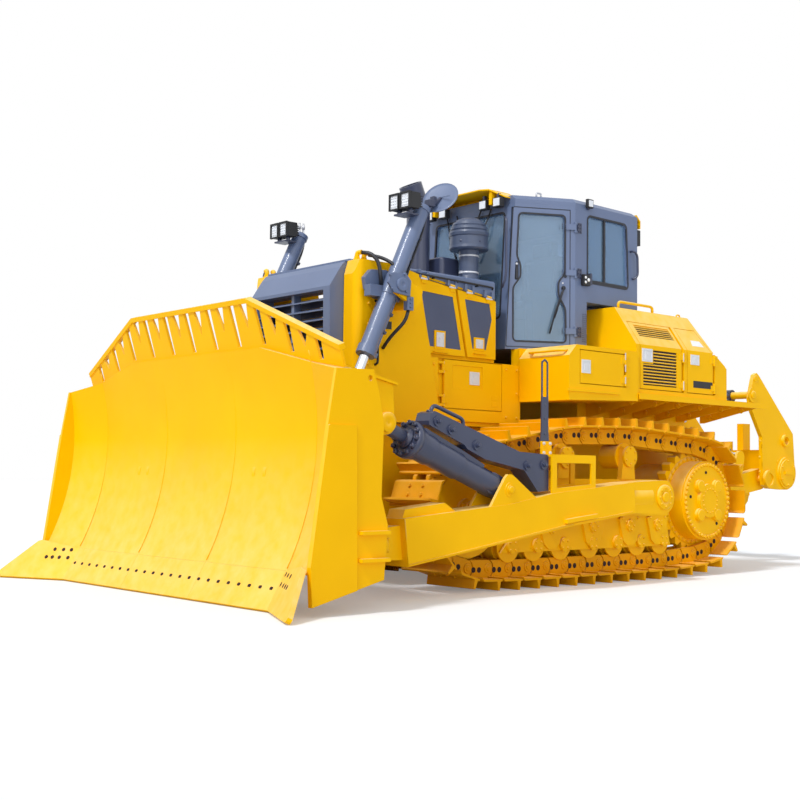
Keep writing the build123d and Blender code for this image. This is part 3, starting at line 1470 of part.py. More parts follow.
with BuildPart() as spill_guard:
    corners = (-guard_reach, -wing_start, -top_corner_y, top_corner_y, wing_start, guard_reach)
    guard_outline = [(y, guard_foot_at(y) + 0.5) for y in corners]
    guard_outline += [
        (y, guard_top_at(y)) for y in (guard_reach, guard_half_top, -guard_half_top, -guard_reach)
    ]
    panel(guard_plane, guard_outline, -guard_thick, 0)
    rail = [(y, guard_top_at(y)) for y in (-guard_reach, -guard_half_top, guard_half_top, guard_reach)]
    rail += [(y, z - rail_height) for y, z in reversed(rail)]
    panel(guard_plane, rail, -guard_thick - 30, 8)
    for number in range(-5, 6):
        y = number * slot_pitch
        low, high = guard_foot_at(y) + 34, guard_top_at(y) - rail_height - 2
        slope = 0.0 if abs(y) < guard_half_top else -0.4385 * math.copysign(1, y)
        if high - low > 60:
            panel(
                guard_plane,
                ((y - 24, low), (y + 24, low), (y + 37, high + 37 * slope), (y - 37, high - 37 * slope)),
                -guard_thick - 1,
                1,
                Mode.SUBTRACT,
            )
    for number in range(-5, 5):
        y = (number + 0.5) * slot_pitch
        high = guard_top_at(y) - rail_height - 2
        low = high - (high - guard_foot_at(y)) * 0.52
        slope = 0.0 if abs(y) < guard_half_top else -0.4385 * math.copysign(1, y)
        if high - low > 60:
            panel(
                guard_plane,
                ((y - 5, low), (y + 5, low), (y + 52, high + 52 * slope), (y - 52, high - 52 * slope)),
                -guard_thick - 1,
                1,
                Mode.SUBTRACT,
            )

# ---- Lift cylinders ----------------------------------------------------------------------------------
lift_line = Vector(lift_eye_x - lift_trunnion_x, 0, lift_eye_z - lift_trunnion_z)
lift_length = lift_line.length
lift_way = lift_line.normalized()
lift_bore = 45.3
lift_rod_radius = 45.0
lift_pivot_radius = 40.0
lamp_collar = 98.0
collar_high, collar_low = -820.0, -740.0     # along the barrel from its trunnion
lamp_floor, lamp_roof = 3490.0, 3640.0
lamp_rear, lamp_front = 2290.0, 2445.0
yoke_gap = 85.0                # from the cylinder's axis to the inner faces of its yoke


def on_lift(along, out=0.0):
    """Point (x, z) down the lift cylinder from its trunnion, and out from its axis."""
    return (
        lift_trunnion_x + lift_way.X * along - lift_way.Z * out,
        lift_trunnion_z + lift_way.Z * along + lift_way.X * out,
    )


def lift_bar(start, end, radius, mode=Mode.ADD, out=0.0, y=lift_y):
    """Adds a round bar along the lift cylinder between two distances from its trunnion."""
    (start_x, start_z), (end_x, end_z) = on_lift(start, out), on_lift(end, out)
    bar((start_x, y, start_z), (end_x, y, end_z), radius, mode)


with BuildPart() as lift_barrels:
    lift_bar(-lift_barrel_above, lift_barrel_below, lift_barrel_radius)
    lift_bar(-lift_barrel_above, -lift_barrel_above + 45, lift_barrel_radius + 8)
    lift_bar(lift_barrel_below - 80, lift_barrel_below, lift_barrel_radius + 12)
    lift_bar(-100, 100, lift_barrel_radius + 5)
    # Oil pipe down the rear of the barrel, with a block at each end
    lift_bar(60, lift_barrel_below - 40, 13, out=-lift_barrel_radius - 16)
    side_solid(
        (on_lift(40, -60), on_lift(95, -60), on_lift(95, -120), on_lift(40, -120)), lift_y - 25, lift_y + 25
    )
    side_solid(
        (
            on_lift(lift_barrel_below - 70, -60), on_lift(lift_barrel_below - 25, -60),
            on_lift(lift_barrel_below - 25, -112), on_lift(lift_barrel_below - 70, -112),
        ),
        lift_y - 25,
        lift_y + 25,
    )
    lift_bar(-lift_barrel_above + 60, lift_barrel_below + 1, lift_bore, Mode.SUBTRACT)
    cross_pin(lift_trunnion_x, lift_trunnion_z, lift_pivot_radius, lift_y - 115, lift_y - 60)
    cross_pin(lift_trunnion_x, lift_trunnion_z, lift_pivot_radius, lift_y + 60, lift_y + 115)
    mirror(about=Plane.XZ)
with BuildPart() as lift_rods:
    lift_bar(120, lift_length - 50, lift_rod_radius)
    cross_pin(lift_eye_x, lift_eye_z, 70, lift_y - 45, lift_y + 45)
    mirror(about=Plane.XZ)
with BuildPart() as work_lamps:
    for middle in (lift_y - 76, lift_y + 76):
        side_solid(
            (
                (lamp_rear + 30, lamp_floor), (lamp_rear, lamp_floor + 60), (lamp_rear + 20, lamp_roof),
                (lamp_front - 10, lamp_roof), (lamp_front, lamp_floor),
            ),
            middle - 70,
            middle + 70,
        )
    block(lamp_rear + 40, lamp_front - 50, lift_y - 20, lift_y + 20, lamp_floor + 20, lamp_roof - 20)
    side_solid(
        (on_lift(collar_high, 70), on_lift(collar_low, 70), (2310, lamp_floor), (2310, 3560), (2200, 3560)),
        lift_y - 40,
        lift_y + 40,
    )
    lift_bar(collar_high, collar_low, lamp_collar)
    lift_bar(-870, -700, lift_barrel_radius + 8 + fit_gap, Mode.SUBTRACT)
    mirror(about=Plane.XZ)
with BuildPart() as cylinder_yokes:
    for low, high in ((guard_half, lift_y - yoke_gap), (lift_y + yoke_gap, lift_y + yoke_gap + 35)):
        rounded_link((lift_trunnion_x, lift_trunnion_z), on_lift(0, -190), 90, 90, low, high)
        cross_pin(lift_trunnion_x, lift_trunnion_z, lift_pivot_radius + 0.05, low, high, Mode.SUBTRACT)
    rounded_link(on_lift(-60, -210), on_lift(60, -210), 50, 50, guard_half, lift_y + yoke_gap + 35)
    mirror(about=Plane.XZ)

# ---- Ripper ----------------------------------------------------------------------------------------------
arm_end = (ripper_pivot_x + ripper_arm_dx, ripper_pivot_z + ripper_arm_dz)
link_start = (ripper_pivot_x + ripper_link_dx, ripper_pivot_z + ripper_link_dz)
link_end = (arm_end[0] + ripper_link_dx, arm_end[1] + ripper_link_dz)
ripper_eye = (-3519.0, 1293.0)
ripper_anchor = (-2560.0, 1560.0)
arm_y = (470.0, 540.0)
with BuildPart() as ripper_mount:
    block(-2500, -2350, -600, 600, 700, 1500)
    for low, high in ((400, 440), (570, 610)):
        side_solid(((-2400, 650), (-2400, 1100), (-2700, 980), (-2870, 833), (-2780, 720)), low, high)
    for low, high in ((720, 760), (820, 860)):
        block(-2640, -2500, 0, 70, low, high)
    with BuildSketch(Plane.XY.offset(710)) as hitch_hole:
        with Locations((-2590, 0)):
            Circle(hitch_radius)
    extrude(hitch_hole.sketch, amount=160, mode=Mode.SUBTRACT)
    cross_pin(*link_start, 35, 245, 465)
    cross_pin(*ripper_anchor, 35, 430, 580)
    for low, high in ((245, 275), (435, 465)):
        side_solid(
            (
                (-2350, 1400), (-2350, deck_z - deck_plate), (-2395, 1940), (-2440, 1962), (-2490, 1940),
                (-2520, 1840), (-2500, 1400),
            ),
            low,
            high,
        )
    for low, high in ((430, 465), (545, 580)):
        rounded_link(ripper_anchor, (-2460, 1460), 70, 40, low, high)
    mirror(about=Plane.XZ)
    cross_pin(ripper_pivot_x, ripper_pivot_z, ripper_pin_radius, 400, 610)
    cross_pin(ripper_pivot_x, ripper_pivot_z, ripper_pin_radius, -610, -400)
with BuildPart() as ripper_arm:
    rounded_link((ripper_pivot_x, ripper_pivot_z), arm_end, 110, 130, 450, 560)
    for low, high in ((425, 460), (550, 585)):
        rounded_link((-3400, 950), ripper_eye, 110, 80, low, high)
    block(-3500, -3300, 425, 585, 860, 960)
    cross_pin(ripper_pivot_x, ripper_pivot_z, ripper_pin_radius + 0.05, 440, 570, Mode.SUBTRACT)
    cross_pin(arm_end[0], arm_end[1], ripper_pin_radius + 0.05, 440, 570, Mode.SUBTRACT)
    mirror(about=Plane.XZ)
    cross_pin(-3300, 920, 90, -460, 460)
ripper_plate = (620.0, 670.0)  # side plates of the carriage
cap_place = (-4386.0, 1113.0)  # (x, z) of the round cover of the cross beam
cap_radius = 212.0
slot_place = (-4360.0, 1517.0)
carriage_outline = (
    (-3664, 2250), (-3690, 2310), (-3745, 2336), (-3800, 2300), (-4560, 1607), (-4598, 1166), (-4560, 1000),
    (-4300, 901), (-3977, 916), (-3880, 960), (-3862, 1090), (-3852, 1552), (-3602, 1915), (-3590, 2030),
)

with BuildPart() as ripper_carriage:
    side_solid(carriage_outline, *ripper_plate)
    inner, outer = ripper_plate
    cross_pin(*cap_place, cap_radius, inner, outer)
    cross_pin(*cap_place, cap_radius - 14, outer, outer + 22)
    cross_pin(*cap_place, cap_radius - 40, outer + 22, outer + 34)
    cross_pin(*slot_place, 78, inner, outer + 34)
    cross_pin(*slot_place, 50, inner - 1, outer + 35, Mode.SUBTRACT)
    cross_pin(*arm_end, 112, outer, outer + 36)
    cross_pin(*arm_end, 72, outer + 20, outer + 37, Mode.SUBTRACT)
    cross_pin(*link_end, 92, outer, outer + 14)
    cross_pin(-3722, 2262, 30, inner - 1, outer + 1, Mode.SUBTRACT)
    block(-4560, -4300, 60, 100, 1000, 1400)
    cross_pin(*arm_end, ripper_pin_radius, 430, inner + 1)
    cross_pin(*link_end, 45, 225, inner + 1)
    # Box plates that stiffen the carriage's inner corners
    side_solid(((-4400, 1000), (-4400, 1400), (-4130, 1400), (-4050, 1000)), inner - 40, inner)
    mirror(about=Plane.XZ)
    block(-4400, -4130, -inner, inner, 1000, 1400)
with BuildPart() as ripper_shank:
    side_solid(
        (
            (-4400.3, 1750), (-4560, 1750), (-4560, 900), (-4500, 740), (-4420, 672), (-4330, 650),
            (-4348, 700),
            (-4400.3, 860),
        ),
        -45,
        45,
    )

# Points along the cylinders, measured from each one's front pin
lift_cylinder_y = 505.0
tilt_cylinder_y = 355.0
ripper_lift_way = Vector(ripper_eye[0] - ripper_anchor[0], 0, ripper_eye[1] - ripper_anchor[1])
ripper_lift_reach = ripper_lift_way.length
ripper_tilt_way = Vector(link_end[0] - link_start[0], 0, link_end[1] - link_start[1])
ripper_tilt_reach = ripper_tilt_way.length


def cylinder_bar(foot, way, y, start, end, radius, mode=Mode.ADD):
    """Adds a round bar along a ripper cylinder between two distances from its front pin."""
    unit = way.normalized()
    ends = [(foot[0] + unit.X * along, y, foot[1] + unit.Z * along) for along in (start, end)]
    bar(*ends, radius, mode)


lift_set = (ripper_anchor, ripper_lift_way, lift_cylinder_y)
tilt_set = (link_start, ripper_tilt_way, tilt_cylinder_y)
barrel_end = 860.0
lift_clevis, tilt_clevis = 35.0, 35.0        # half widths of the cylinders' eyes

with BuildPart() as ripper_lift_barrels:
    cylinder_bar(*lift_set, 110, 780, 70)
    cylinder_bar(*lift_set, 0, 110, 30)
    for start, end in ((110, 145), (735, 780)):
        cylinder_bar(*lift_set, start, end, 80)
    cylinder_bar(*lift_set, 200, 790, 40.3, Mode.SUBTRACT)
    eye_y = (lift_cylinder_y - lift_clevis, lift_cylinder_y + lift_clevis)
    cross_pin(*ripper_anchor, 55, *eye_y)
    cross_pin(*ripper_anchor, 35.05, *eye_y, Mode.SUBTRACT)
    mirror(about=Plane.XZ)
with BuildPart() as ripper_lift_rods:
    cylinder_bar(*lift_set, 320, ripper_lift_reach - 50, 40)
    cross_pin(*ripper_eye, 60, *eye_y)
    mirror(about=Plane.XZ)
with BuildPart() as ripper_tilt_barrels:
    cylinder_bar(*tilt_set, 60, barrel_end, 75)
    cylinder_bar(*tilt_set, barrel_end - 50, barrel_end, 86)
    tilt_y = (tilt_cylinder_y - tilt_clevis, tilt_cylinder_y + tilt_clevis)
    cross_pin(*link_start, 65, *tilt_y)
    cross_pin(*link_start, 35.05, *tilt_y, Mode.SUBTRACT)
    mirror(about=Plane.XZ)
with BuildPart() as ripper_tilt_rods:
    cylinder_bar(*tilt_set, barrel_end + fit_gap, ripper_tilt_reach - 60, 42)
    cross_pin(*link_end, 75, *tilt_y)
    cross_pin(*link_end, 45.05, *tilt_y, Mode.SUBTRACT)
    mirror(about=Plane.XZ)

# ---- Export ---------------------------------------------------------------------------------------
os.makedirs("parts", exist_ok=True)
track_left.part.label = "track_left"
export_step(track_left.part, "parts/track_left.step")
track_right.part.label = "track_right"
export_step(track_right.part, "parts/track_right.step")
idlers.part.label = "idlers"
export_step(idlers.part, "parts/idlers.step")
rollers_left.part.label = "rollers_left"
export_step(rollers_left.part, "parts/rollers_left.step")
rollers_right.part.label = "rollers_right"
export_step(rollers_right.part, "parts/rollers_right.step")
final_drives.part.label = "final_drives"
export_step(final_drives.part, "parts/final_drives.step")
track_frame_left.part.label = "track_frame_left"
export_step(track_frame_left.part, "parts/track_frame_left.step")
track_frame_right.part.label = "track_frame_right"
export_step(track_frame_right.part, "parts/track_frame_right.step")
main_frame.part.label = "main_frame"
export_step(main_frame.part, "parts/main_frame.step")
belly_guard.part.label = "belly_guard"
export_step(belly_guard.part, "parts/belly_guard.step")
engine.part.label = "engine"
export_step(engine.part, "parts/engine.step")
equalizer_bar.part.label = "equalizer_bar"
export_step(equalizer_bar.part, "parts/equalizer_bar.step")
radiator_guard.part.label = "radiator_guard"
export_step(radiator_guard.part, "parts/radiator_guard.step")
grille.part.label = "grille"
export_step(grille.part, "parts/grille.step")
hood.part.label = "hood"
export_step(hood.part, "parts/hood.step")
exhaust_stack.part.label = "exhaust_stack"
export_step(exhaust_stack.part, "parts/exhaust_stack.step")
air_cleaner.part.label = "air_cleaner"
export_step(air_cleaner.part, "parts/air_cleaner.step")
engine_housing.part.label = "engine_housing"
export_step(engine_housing.part, "parts/engine_housing.step")
lower_door_left.part.label = "lower_door_left"
export_step(lower_door_left.part, "parts/lower_door_left.step")
lower_door_right.part.label = "lower_door_right"
export_step(lower_door_right.part, "parts/lower_door_right.step")
upper_doors_left.part.label = "upper_doors_left"
export_step(upper_doors_left.part, "parts/upper_doors_left.step")
upper_doors_right.part.label = "upper_doors_right"
export_step(upper_doors_right.part, "parts/upper_doors_right.step")
fenders.part.label = "fenders"
export_step(fenders.part, "parts/fenders.step")
fender_door_left.part.label = "fender_door_left"
export_step(fender_door_left.part, "parts/fender_door_left.step")
fender_door_right.part.label = "fender_door_right"
export_step(fender_door_right.part, "parts/fender_door_right.step")
housing_front_door_left.part.label = "housing_front_door_left"
export_step(housing_front_door_left.part, "parts/housing_front_door_left.step")
housing_front_door_right.part.label = "housing_front_door_right"
export_step(housing_front_door_right.part, "parts/housing_front_door_right.step")
housing_rear_door_left.part.label = "housing_rear_door_left"
export_step(housing_rear_door_left.part, "parts/housing_rear_door_left.step")
housing_rear_door_right.part.label = "housing_rear_door_right"
export_step(housing_rear_door_right.part, "parts/housing_rear_door_right.step")
decks.part.label = "decks"
export_step(decks.part, "parts/decks.step")
rear_housing.part.label = "rear_housing"
export_step(rear_housing.part, "parts/rear_housing.step")
cab_shell.part.label = "cab_shell"
export_step(cab_shell.part, "parts/cab_shell.step")
cab_roof.part.label = "cab_roof"
export_step(cab_roof.part, "parts/cab_roof.step")
cab_visors.part.label = "cab_visors"
export_step(cab_visors.part, "parts/cab_visors.step")
cab_glass.part.label = "cab_glass"
export_step(cab_glass.part, "parts/cab_glass.step")
operator_station.part.label = "operator_station"
export_step(operator_station.part, "parts/operator_station.step")
cab_door_left.part.label = "cab_door_left"
export_step(cab_door_left.part, "parts/cab_door_left.step")
cab_door_right.part.label = "cab_door_right"
export_step(cab_door_right.part, "parts/cab_door_right.step")
door_glass_left.part.label = "door_glass_left"
export_step(door_glass_left.part, "parts/door_glass_left.step")
door_glass_right.part.label = "door_glass_right"
export_step(door_glass_right.part, "parts/door_glass_right.step")
push_arm_left.part.label = "push_arm_left"
export_step(push_arm_left.part, "parts/push_arm_left.step")
push_arm_right.part.label = "push_arm_right"
export_step(push_arm_right.part, "parts/push_arm_right.step")
brace_guards.part.label = "brace_guards"
export_step(brace_guards.part, "parts/brace_guards.step")
brace_barrels.part.label = "brace_barrels"
export_step(brace_barrels.part, "parts/brace_barrels.step")
brace_rods.part.label = "brace_rods"
export_step(brace_rods.part, "parts/brace_rods.step")
blade.part.label = "blade"
export_step(blade.part, "parts/blade.step")
cutting_edges.part.label = "cutting_edges"
export_step(cutting_edges.part, "parts/cutting_edges.step")
spill_guard.part.label = "spill_guard"
export_step(spill_guard.part, "parts/spill_guard.step")
lift_barrels.part.label = "lift_barrels"
export_step(lift_barrels.part, "parts/lift_barrels.step")
lift_rods.part.label = "lift_rods"
export_step(lift_rods.part, "parts/lift_rods.step")
work_lamps.part.label = "work_lamps"
export_step(work_lamps.part, "parts/work_lamps.step")
cylinder_yokes.part.label = "cylinder_yokes"
export_step(cylinder_yokes.part, "parts/cylinder_yokes.step")
ripper_mount.part.label = "ripper_mount"
export_step(ripper_mount.part, "parts/ripper_mount.step")
ripper_arm.part.label = "ripper_arm"
export_step(ripper_arm.part, "parts/ripper_arm.step")
ripper_carriage.part.label = "ripper_carriage"
export_step(ripper_carriage.part, "parts/ripper_carriage.step")
ripper_shank.part.label = "ripper_shank"
export_step(ripper_shank.part, "parts/ripper_shank.step")
ripper_lift_barrels.part.label = "ripper_lift_barrels"
export_step(ripper_lift_barrels.part, "parts/ripper_lift_barrels.step")
ripper_lift_rods.part.label = "ripper_lift_rods"
export_step(ripper_lift_rods.part, "parts/ripper_lift_rods.step")
ripper_tilt_barrels.part.label = "ripper_tilt_barrels"
export_step(ripper_tilt_barrels.part, "parts/ripper_tilt_barrels.step")
ripper_tilt_rods.part.label = "ripper_tilt_rods"
export_step(ripper_tilt_rods.part, "parts/ripper_tilt_rods.step")
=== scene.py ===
import bmesh
import bpy
import json
import math
from mathutils import Matrix, Vector


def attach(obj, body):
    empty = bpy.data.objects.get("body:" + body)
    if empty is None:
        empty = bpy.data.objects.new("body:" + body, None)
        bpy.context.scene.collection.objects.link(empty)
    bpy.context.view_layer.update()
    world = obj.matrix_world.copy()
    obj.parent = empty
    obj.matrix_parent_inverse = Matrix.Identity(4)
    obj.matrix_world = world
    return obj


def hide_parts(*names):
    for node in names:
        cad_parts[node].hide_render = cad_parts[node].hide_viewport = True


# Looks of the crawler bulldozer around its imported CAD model. Metres, +X forward, +Y its left, +Z up.
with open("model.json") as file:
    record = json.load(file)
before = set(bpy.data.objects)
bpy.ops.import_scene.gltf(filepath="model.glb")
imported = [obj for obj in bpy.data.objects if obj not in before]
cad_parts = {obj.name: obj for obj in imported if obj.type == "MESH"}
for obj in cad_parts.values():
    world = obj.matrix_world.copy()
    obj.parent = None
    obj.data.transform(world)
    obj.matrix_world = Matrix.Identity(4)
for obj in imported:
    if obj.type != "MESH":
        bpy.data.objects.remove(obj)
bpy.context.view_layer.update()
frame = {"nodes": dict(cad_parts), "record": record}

MM = 0.001                     # shapes are given in millimetres, as in the CAD source
X, Y, Z = Vector((1, 0, 0)), Vector((0, 1, 0)), Vector((0, 0, 1))
SIDES = (("left", 1), ("right", -1))


# ---- Shape building ----
class Shape:
    """Gathers points and faces, and makes one Blender piece of them."""

    def __init__(self):
        self.points = []
        self.faces = []
        self.smooth = []

    def add(self, points, faces, smooth=False):
        start = len(self.points)
        self.points += [tuple(MM * value for value in point) for point in points]
        self.faces += [tuple(start + index for index in face) for face in faces]
        self.smooth += [smooth] * len(faces)

    def slab(self, outline, low, high, place=Vector(), across=X, up=Z, out=None):
        """A plate with an outline in the across and up directions, from low to high along out."""
        out = across.cross(up) * -1 if out is None else out
        count = len(outline)
        points = [place + across * a + up * b + out * c for c in (low, high) for a, b in outline]
        faces = [tuple(range(count)), tuple(range(2 * count - 1, count - 1, -1))]
        faces += [(i, i + count, (i + 1) % count + count, (i + 1) % count) for i in range(count)]
        self.add(points, faces)

    def side_slab(self, outline, y_low, y_high):
        """A plate with an (x, z) outline between two y planes."""
        self.slab(outline, y_low, y_high, across=X, up=Z, out=Y)

    def box(self, low, high):
        """A square-cornered block between two corners."""
        self.slab(
            ((low[0], low[1]), (high[0], low[1]), (high[0], high[1]), (low[0], high[1])), low[2], high[2],
            across=X, up=Y, out=Z,
        )

    def stack(self, points, rounds, segments, smooth):
        """Joins rounds of points into a tube and closes its two ends."""
        start = len(self.points)
        last = (rounds - 1) * segments
        faces = []
        for level in range(0, last, segments):
            for step in range(segments):
                after = (step + 1) % segments
                faces.append((level + step, level + after, level + segments + after, level + segments + step))
        self.add(points, faces, smooth)
        self.faces.append(tuple(start + step for step in range(segments - 1, -1, -1)))
        self.faces.append(tuple(start + last + step for step in range(segments)))
        self.smooth += [False, False]

    def lathe(self, start, axis, profile, segments=24):
        """Turns a profile of (along, radius) pairs round an axis."""
        axis = Vector(axis).normalized()
        first = axis.orthogonal().normalized()
        second = axis.cross(first)
        points = []
        for along, radius in profile:
            for step in range(segments):
                angle = 2 * math.pi * step / segments
                spoke = first * math.cos(angle) + second * math.sin(angle)
                points.append(Vector(start) + axis * along + spoke * radius)
        self.stack(points, len(profile), segments, smooth=segments > 8)

    def rod(self, start, end, radius, segments=16, chamfer=0.0):
        """A round bar between two points, with chamfered ends."""
        start, end = Vector(start), Vector(end)
        length = (end - start).length
        if chamfer:
            narrow = radius - chamfer
            profile = ((0, narrow), (chamfer, radius), (length - chamfer, radius), (length, narrow))
        else:
            profile = ((0, radius), (length, radius))
        self.lathe(start, end - start, profile, segments)

    def bolt(self, place, axis, size, washer=True):
        """A hexagon head on a washer; size is the width across corners."""
        axis = Vector(axis).normalized()
        place = Vector(place)
        if washer:
            self.lathe(place, axis, ((0, size * 0.62), (size * 0.1, size * 0.62)), 12)
        head = ((0, size * 0.5), (size * 0.34, size * 0.5), (size * 0.4, size * 0.42))
        self.lathe(place + axis * size * 0.1, axis, head, 6)

    def tube(self, route, radius, segments=10):
        """A round bar or hose that follows a route."""
        route = [Vector(point) for point in route]
        count = len(route)
        normal = (route[1] - route[0]).orthogonal().normalized()
        points = []
        for index, place in enumerate(route):
            ahead = (route[min(index + 1, count - 1)] - route[max(index - 1, 0)]).normalized()
            normal = (normal - ahead * normal.dot(ahead)).normalized()
            side = ahead.cross(normal)
            for step in range(segments):
                angle = 2 * math.pi * step / segments
                points.append(place + (normal * math.cos(angle) + side * math.sin(angle)) * radius)
        self.stack(points, count, segments, smooth=True)

    def hose(self, route, corner, radius, segments=10):
        """A tube whose route has its corners rounded off."""
        self.tube(rounded(route, corner), radius, segments)

    def mirrored(self):
        """The same shape on the machine's other side."""
        twin = Shape()
        twin.points = [(x, -y, z) for x, y, z in self.points]
        twin.faces, twin.smooth = self.faces, self.smooth
        return twin

    def pair(self, name, body, material, bevel=0.0, slot=None):
        """Makes the piece and its mirror twin; {side} in the body's name becomes left or right."""
        for side, sign in SIDES:
            twin = self if sign > 0 else self.mirrored()
            twin.piece(f"{name}_{side}", body.format(side=side), material, bevel, slot)

    def piece(self, name, body, material, bevel=0.0, slot=None):
        """Makes the Blender piece, which rides on a body."""
        mesh = bpy.data.meshes.new(name)
        mesh.from_pydata([tuple(point) for point in self.points], [], self.faces)
        mesh.polygons.foreach_set("use_smooth", self.smooth)
        mesh.materials.append(material)
        mesh.validate()
        mesh.update()
        item = placed(name, mesh)
        outward_faces(mesh)
        if bevel:
            edge = item.modifiers.new("edge", "BEVEL")
            edge.width = bevel * MM
            edge.segments = 2
            edge.limit_method = "ANGLE"
            edge.angle_limit = math.radians(35)
        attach(item, body)
        return item


def placed(name, data):
    """A Blender object in the scene."""
    item = bpy.data.objects.new(name, data)
    bpy.context.scene.collection.objects.link(item)
    return item


def shapes(count):
    """As many empty shapes."""
    return [Shape() for _ in range(count)]


def make_pairs(*rows):
    """Makes left and right pieces, from rows of a shape and what its pair call is given."""
    for shape, *facts in rows:
        shape.pair(*facts)


def outward_faces(mesh):
    """Turns every face of a mesh to point outward."""
    work = bmesh.new()
    work.from_mesh(mesh)
    bmesh.ops.recalc_face_normals(work, faces=work.faces)
    work.to_mesh(mesh)
    work.free()


def bend(before, corner, after, radius, limit, steps=5):
    """Points of a soft turn at a corner, which takes up no more than a share of either side."""
    start = corner + (before - corner).normalized() * min(radius, (before - corner).length * limit)
    end = corner + (after - corner).normalized() * min(radius, (after - corner).length * limit)
    shares = [step / steps for step in range(steps + 1)]
    return [start * (1 - s) ** 2 + corner * 2 * s * (1 - s) + end * s ** 2 for s in shares]


def rounded(route, radius):
    """A route with its corners rounded off."""
    route = [Vector(point) for point in route]
    smooth = [route[0]]
    for before, corner, after in zip(route, route[1:], route[2:]):
        smooth += bend(before, corner, after, radius, 0.49)
    return smooth + [route[-1]]


# ---- Materials ----
def linear(red, green, blue):
    """A colour given as 0 to 255 on a screen, in the renderer's own scale."""
    return tuple(
        (value / 255 / 12.92) if value <= 10.3 else ((value / 255 + 0.055) / 1.055) ** 2.4
        for value in (red, green, blue)
    ) + (1.0,)


def new_material(name):
    """A material with its nodes, its links, and the shader that it starts with."""
    material = bpy.data.materials.new(name)
    material.use_nodes = True
    nodes = material.node_tree.nodes
    return material, nodes, material.node_tree.links, nodes["Principled BSDF"]


def node(nodes, kind, **sockets):
    """A shader node with numbers or colours set on its sockets; an underscore stands for a space."""
    made = nodes.new("ShaderNode" + kind)
    for socket, value in sockets.items():
        made.inputs[socket.replace("_", " ")].default_value = value
    return made


def noise(nodes, links, place, scale, detail=2.0):
    """A noise texture laid on the piece's own coordinates."""
    texture = node(nodes, "TexNoise", Scale=scale, Detail=detail)
    links.new(place.outputs["Object"], texture.inputs["Vector"])
    return texture.outputs["Fac"]


def combine(nodes, links, operation, first, second):
    """A math node on an output and either a second output or a number."""
    maths = node(nodes, "Math")
    maths.operation = operation
    links.new(first, maths.inputs[0])
    if isinstance(second, float):
        maths.inputs[1].default_value = second
    else:
        links.new(second, maths.inputs[1])
    return maths


def painted(
    name, colour, roughness, coat=0.0, mottle=0.04, grain=0.15, edge=0.004, metallic=0.0, top_light=0.0,
    specular=0.5, grain_scale=160.0,
):
    """Sprayed metal: faint mottling, orange-peel bump, rounded edges in shading, and a painted highlight that
    makes upward faces paler.
    """
    material, nodes, links, shader = new_material(name)
    for socket, value in (
        ("Metallic", metallic), ("Coat Weight", coat), ("Coat Roughness", COAT_ROUGHNESS),
        ("Specular IOR Level", specular),
    ):
        shader.inputs[socket].default_value = value
    place = node(nodes, "TexCoord")
    tone = node(nodes, "ValToRGB")
    for stop, position, gain in zip(tone.color_ramp.elements, (0.3, 0.7), (1 - mottle, 1 + mottle)):
        stop.position = position
        stop.color = tuple(min(1.0, value * gain) for value in colour[:3]) + (1.0,)
    links.new(noise(nodes, links, place, 1.7, 4.0), tone.inputs["Fac"])
    shade = tone.outputs["Color"]
    # Painted highlight: upward faces, broken up by noise, are mixed toward a pale cream as if lit from above.
    if top_light:
        facing = node(nodes, "NewGeometry")
        split = node(nodes, "SeparateXYZ")
        links.new(facing.outputs["Normal"], split.inputs["Vector"])
        amount = combine(nodes, links, "MULTIPLY", split.outputs["Z"], noise(nodes, links, place, 9.0, 6.0))
        amount.use_clamp = True
        over = node(nodes, "Mix")
        over.data_type = "RGBA"
        over.inputs["B"].default_value = TOP_LIGHT_PALE
        weight = combine(nodes, links, "MULTIPLY", amount.outputs[0], top_light)
        links.new(weight.outputs[0], over.inputs["Factor"])
        links.new(shade, over.inputs["A"])
        shade = over.outputs["Result"]
    links.new(shade, shader.inputs["Base Color"])
    rough = node(nodes, "MapRange", To_Min=roughness * 0.85, To_Max=min(1.0, roughness * 1.15))
    links.new(noise(nodes, links, place, 6.0), rough.inputs["Value"])
    links.new(rough.outputs["Result"], shader.inputs["Roughness"])
    bump = node(nodes, "Bump", Strength=grain, Distance=GRAIN_DEPTH)
    links.new(noise(nodes, links, place, grain_scale), bump.inputs["Height"])
    corner = node(nodes, "Bevel", Radius=edge)
    corner.samples = 4
    links.new(corner.outputs["Normal"], bump.inputs["Normal"])
    links.new(bump.outputs["Normal"], shader.inputs["Normal"])
    return material


def plain(name, colour, roughness, metallic=0.0, grain_scale=300.0, grain=0.2):
    """Rubber, plastic, cast and bare metal: fine grain and slight tone changes."""
    return painted(
        name, colour, roughness, mottle=0.08, grain=grain, edge=0.002, metallic=metallic,
        grain_scale=grain_scale
    )


def glass(name):
    """Safety glass with a faint blue haze, which lets the view pass straight through."""
    material, nodes, links, shader = new_material(name)
    nodes.remove(shader)
    clear = node(nodes, "BsdfTransparent")
    gloss = node(nodes, "BsdfGlossy", Roughness=0.02, Color=(0.78, 0.88, 1.0, 1.0))
    haze = node(nodes, "BsdfDiffuse", Color=linear(168, 206, 240))
    film = node(nodes, "TexNoise", Scale=2.0)
    tint = node(nodes, "ValToRGB")
    tint.color_ramp.elements[0].color = linear(238, 244, 250)
    tint.color_ramp.elements[1].color = linear(244, 249, 253)
    links.new(film.outputs["Fac"], tint.inputs["Fac"])
    links.new(tint.outputs["Color"], clear.inputs["Color"])
    edge = node(nodes, "Fresnel", IOR=1.7)
    blend, hazy = node(nodes, "MixShader"), node(nodes, "MixShader")
    links.new(edge.outputs["Fac"], blend.inputs["Fac"])
    hazy.inputs["Fac"].default_value = HAZE
    for mix, first, second in ((blend, clear, gloss), (hazy, blend, haze)):
        links.new(first.outputs[0], mix.inputs[1])
        links.new(second.outputs[0], mix.inputs[2])
    links.new(hazy.outputs["Shader"], nodes["Material Output"].inputs["Surface"])
    return material


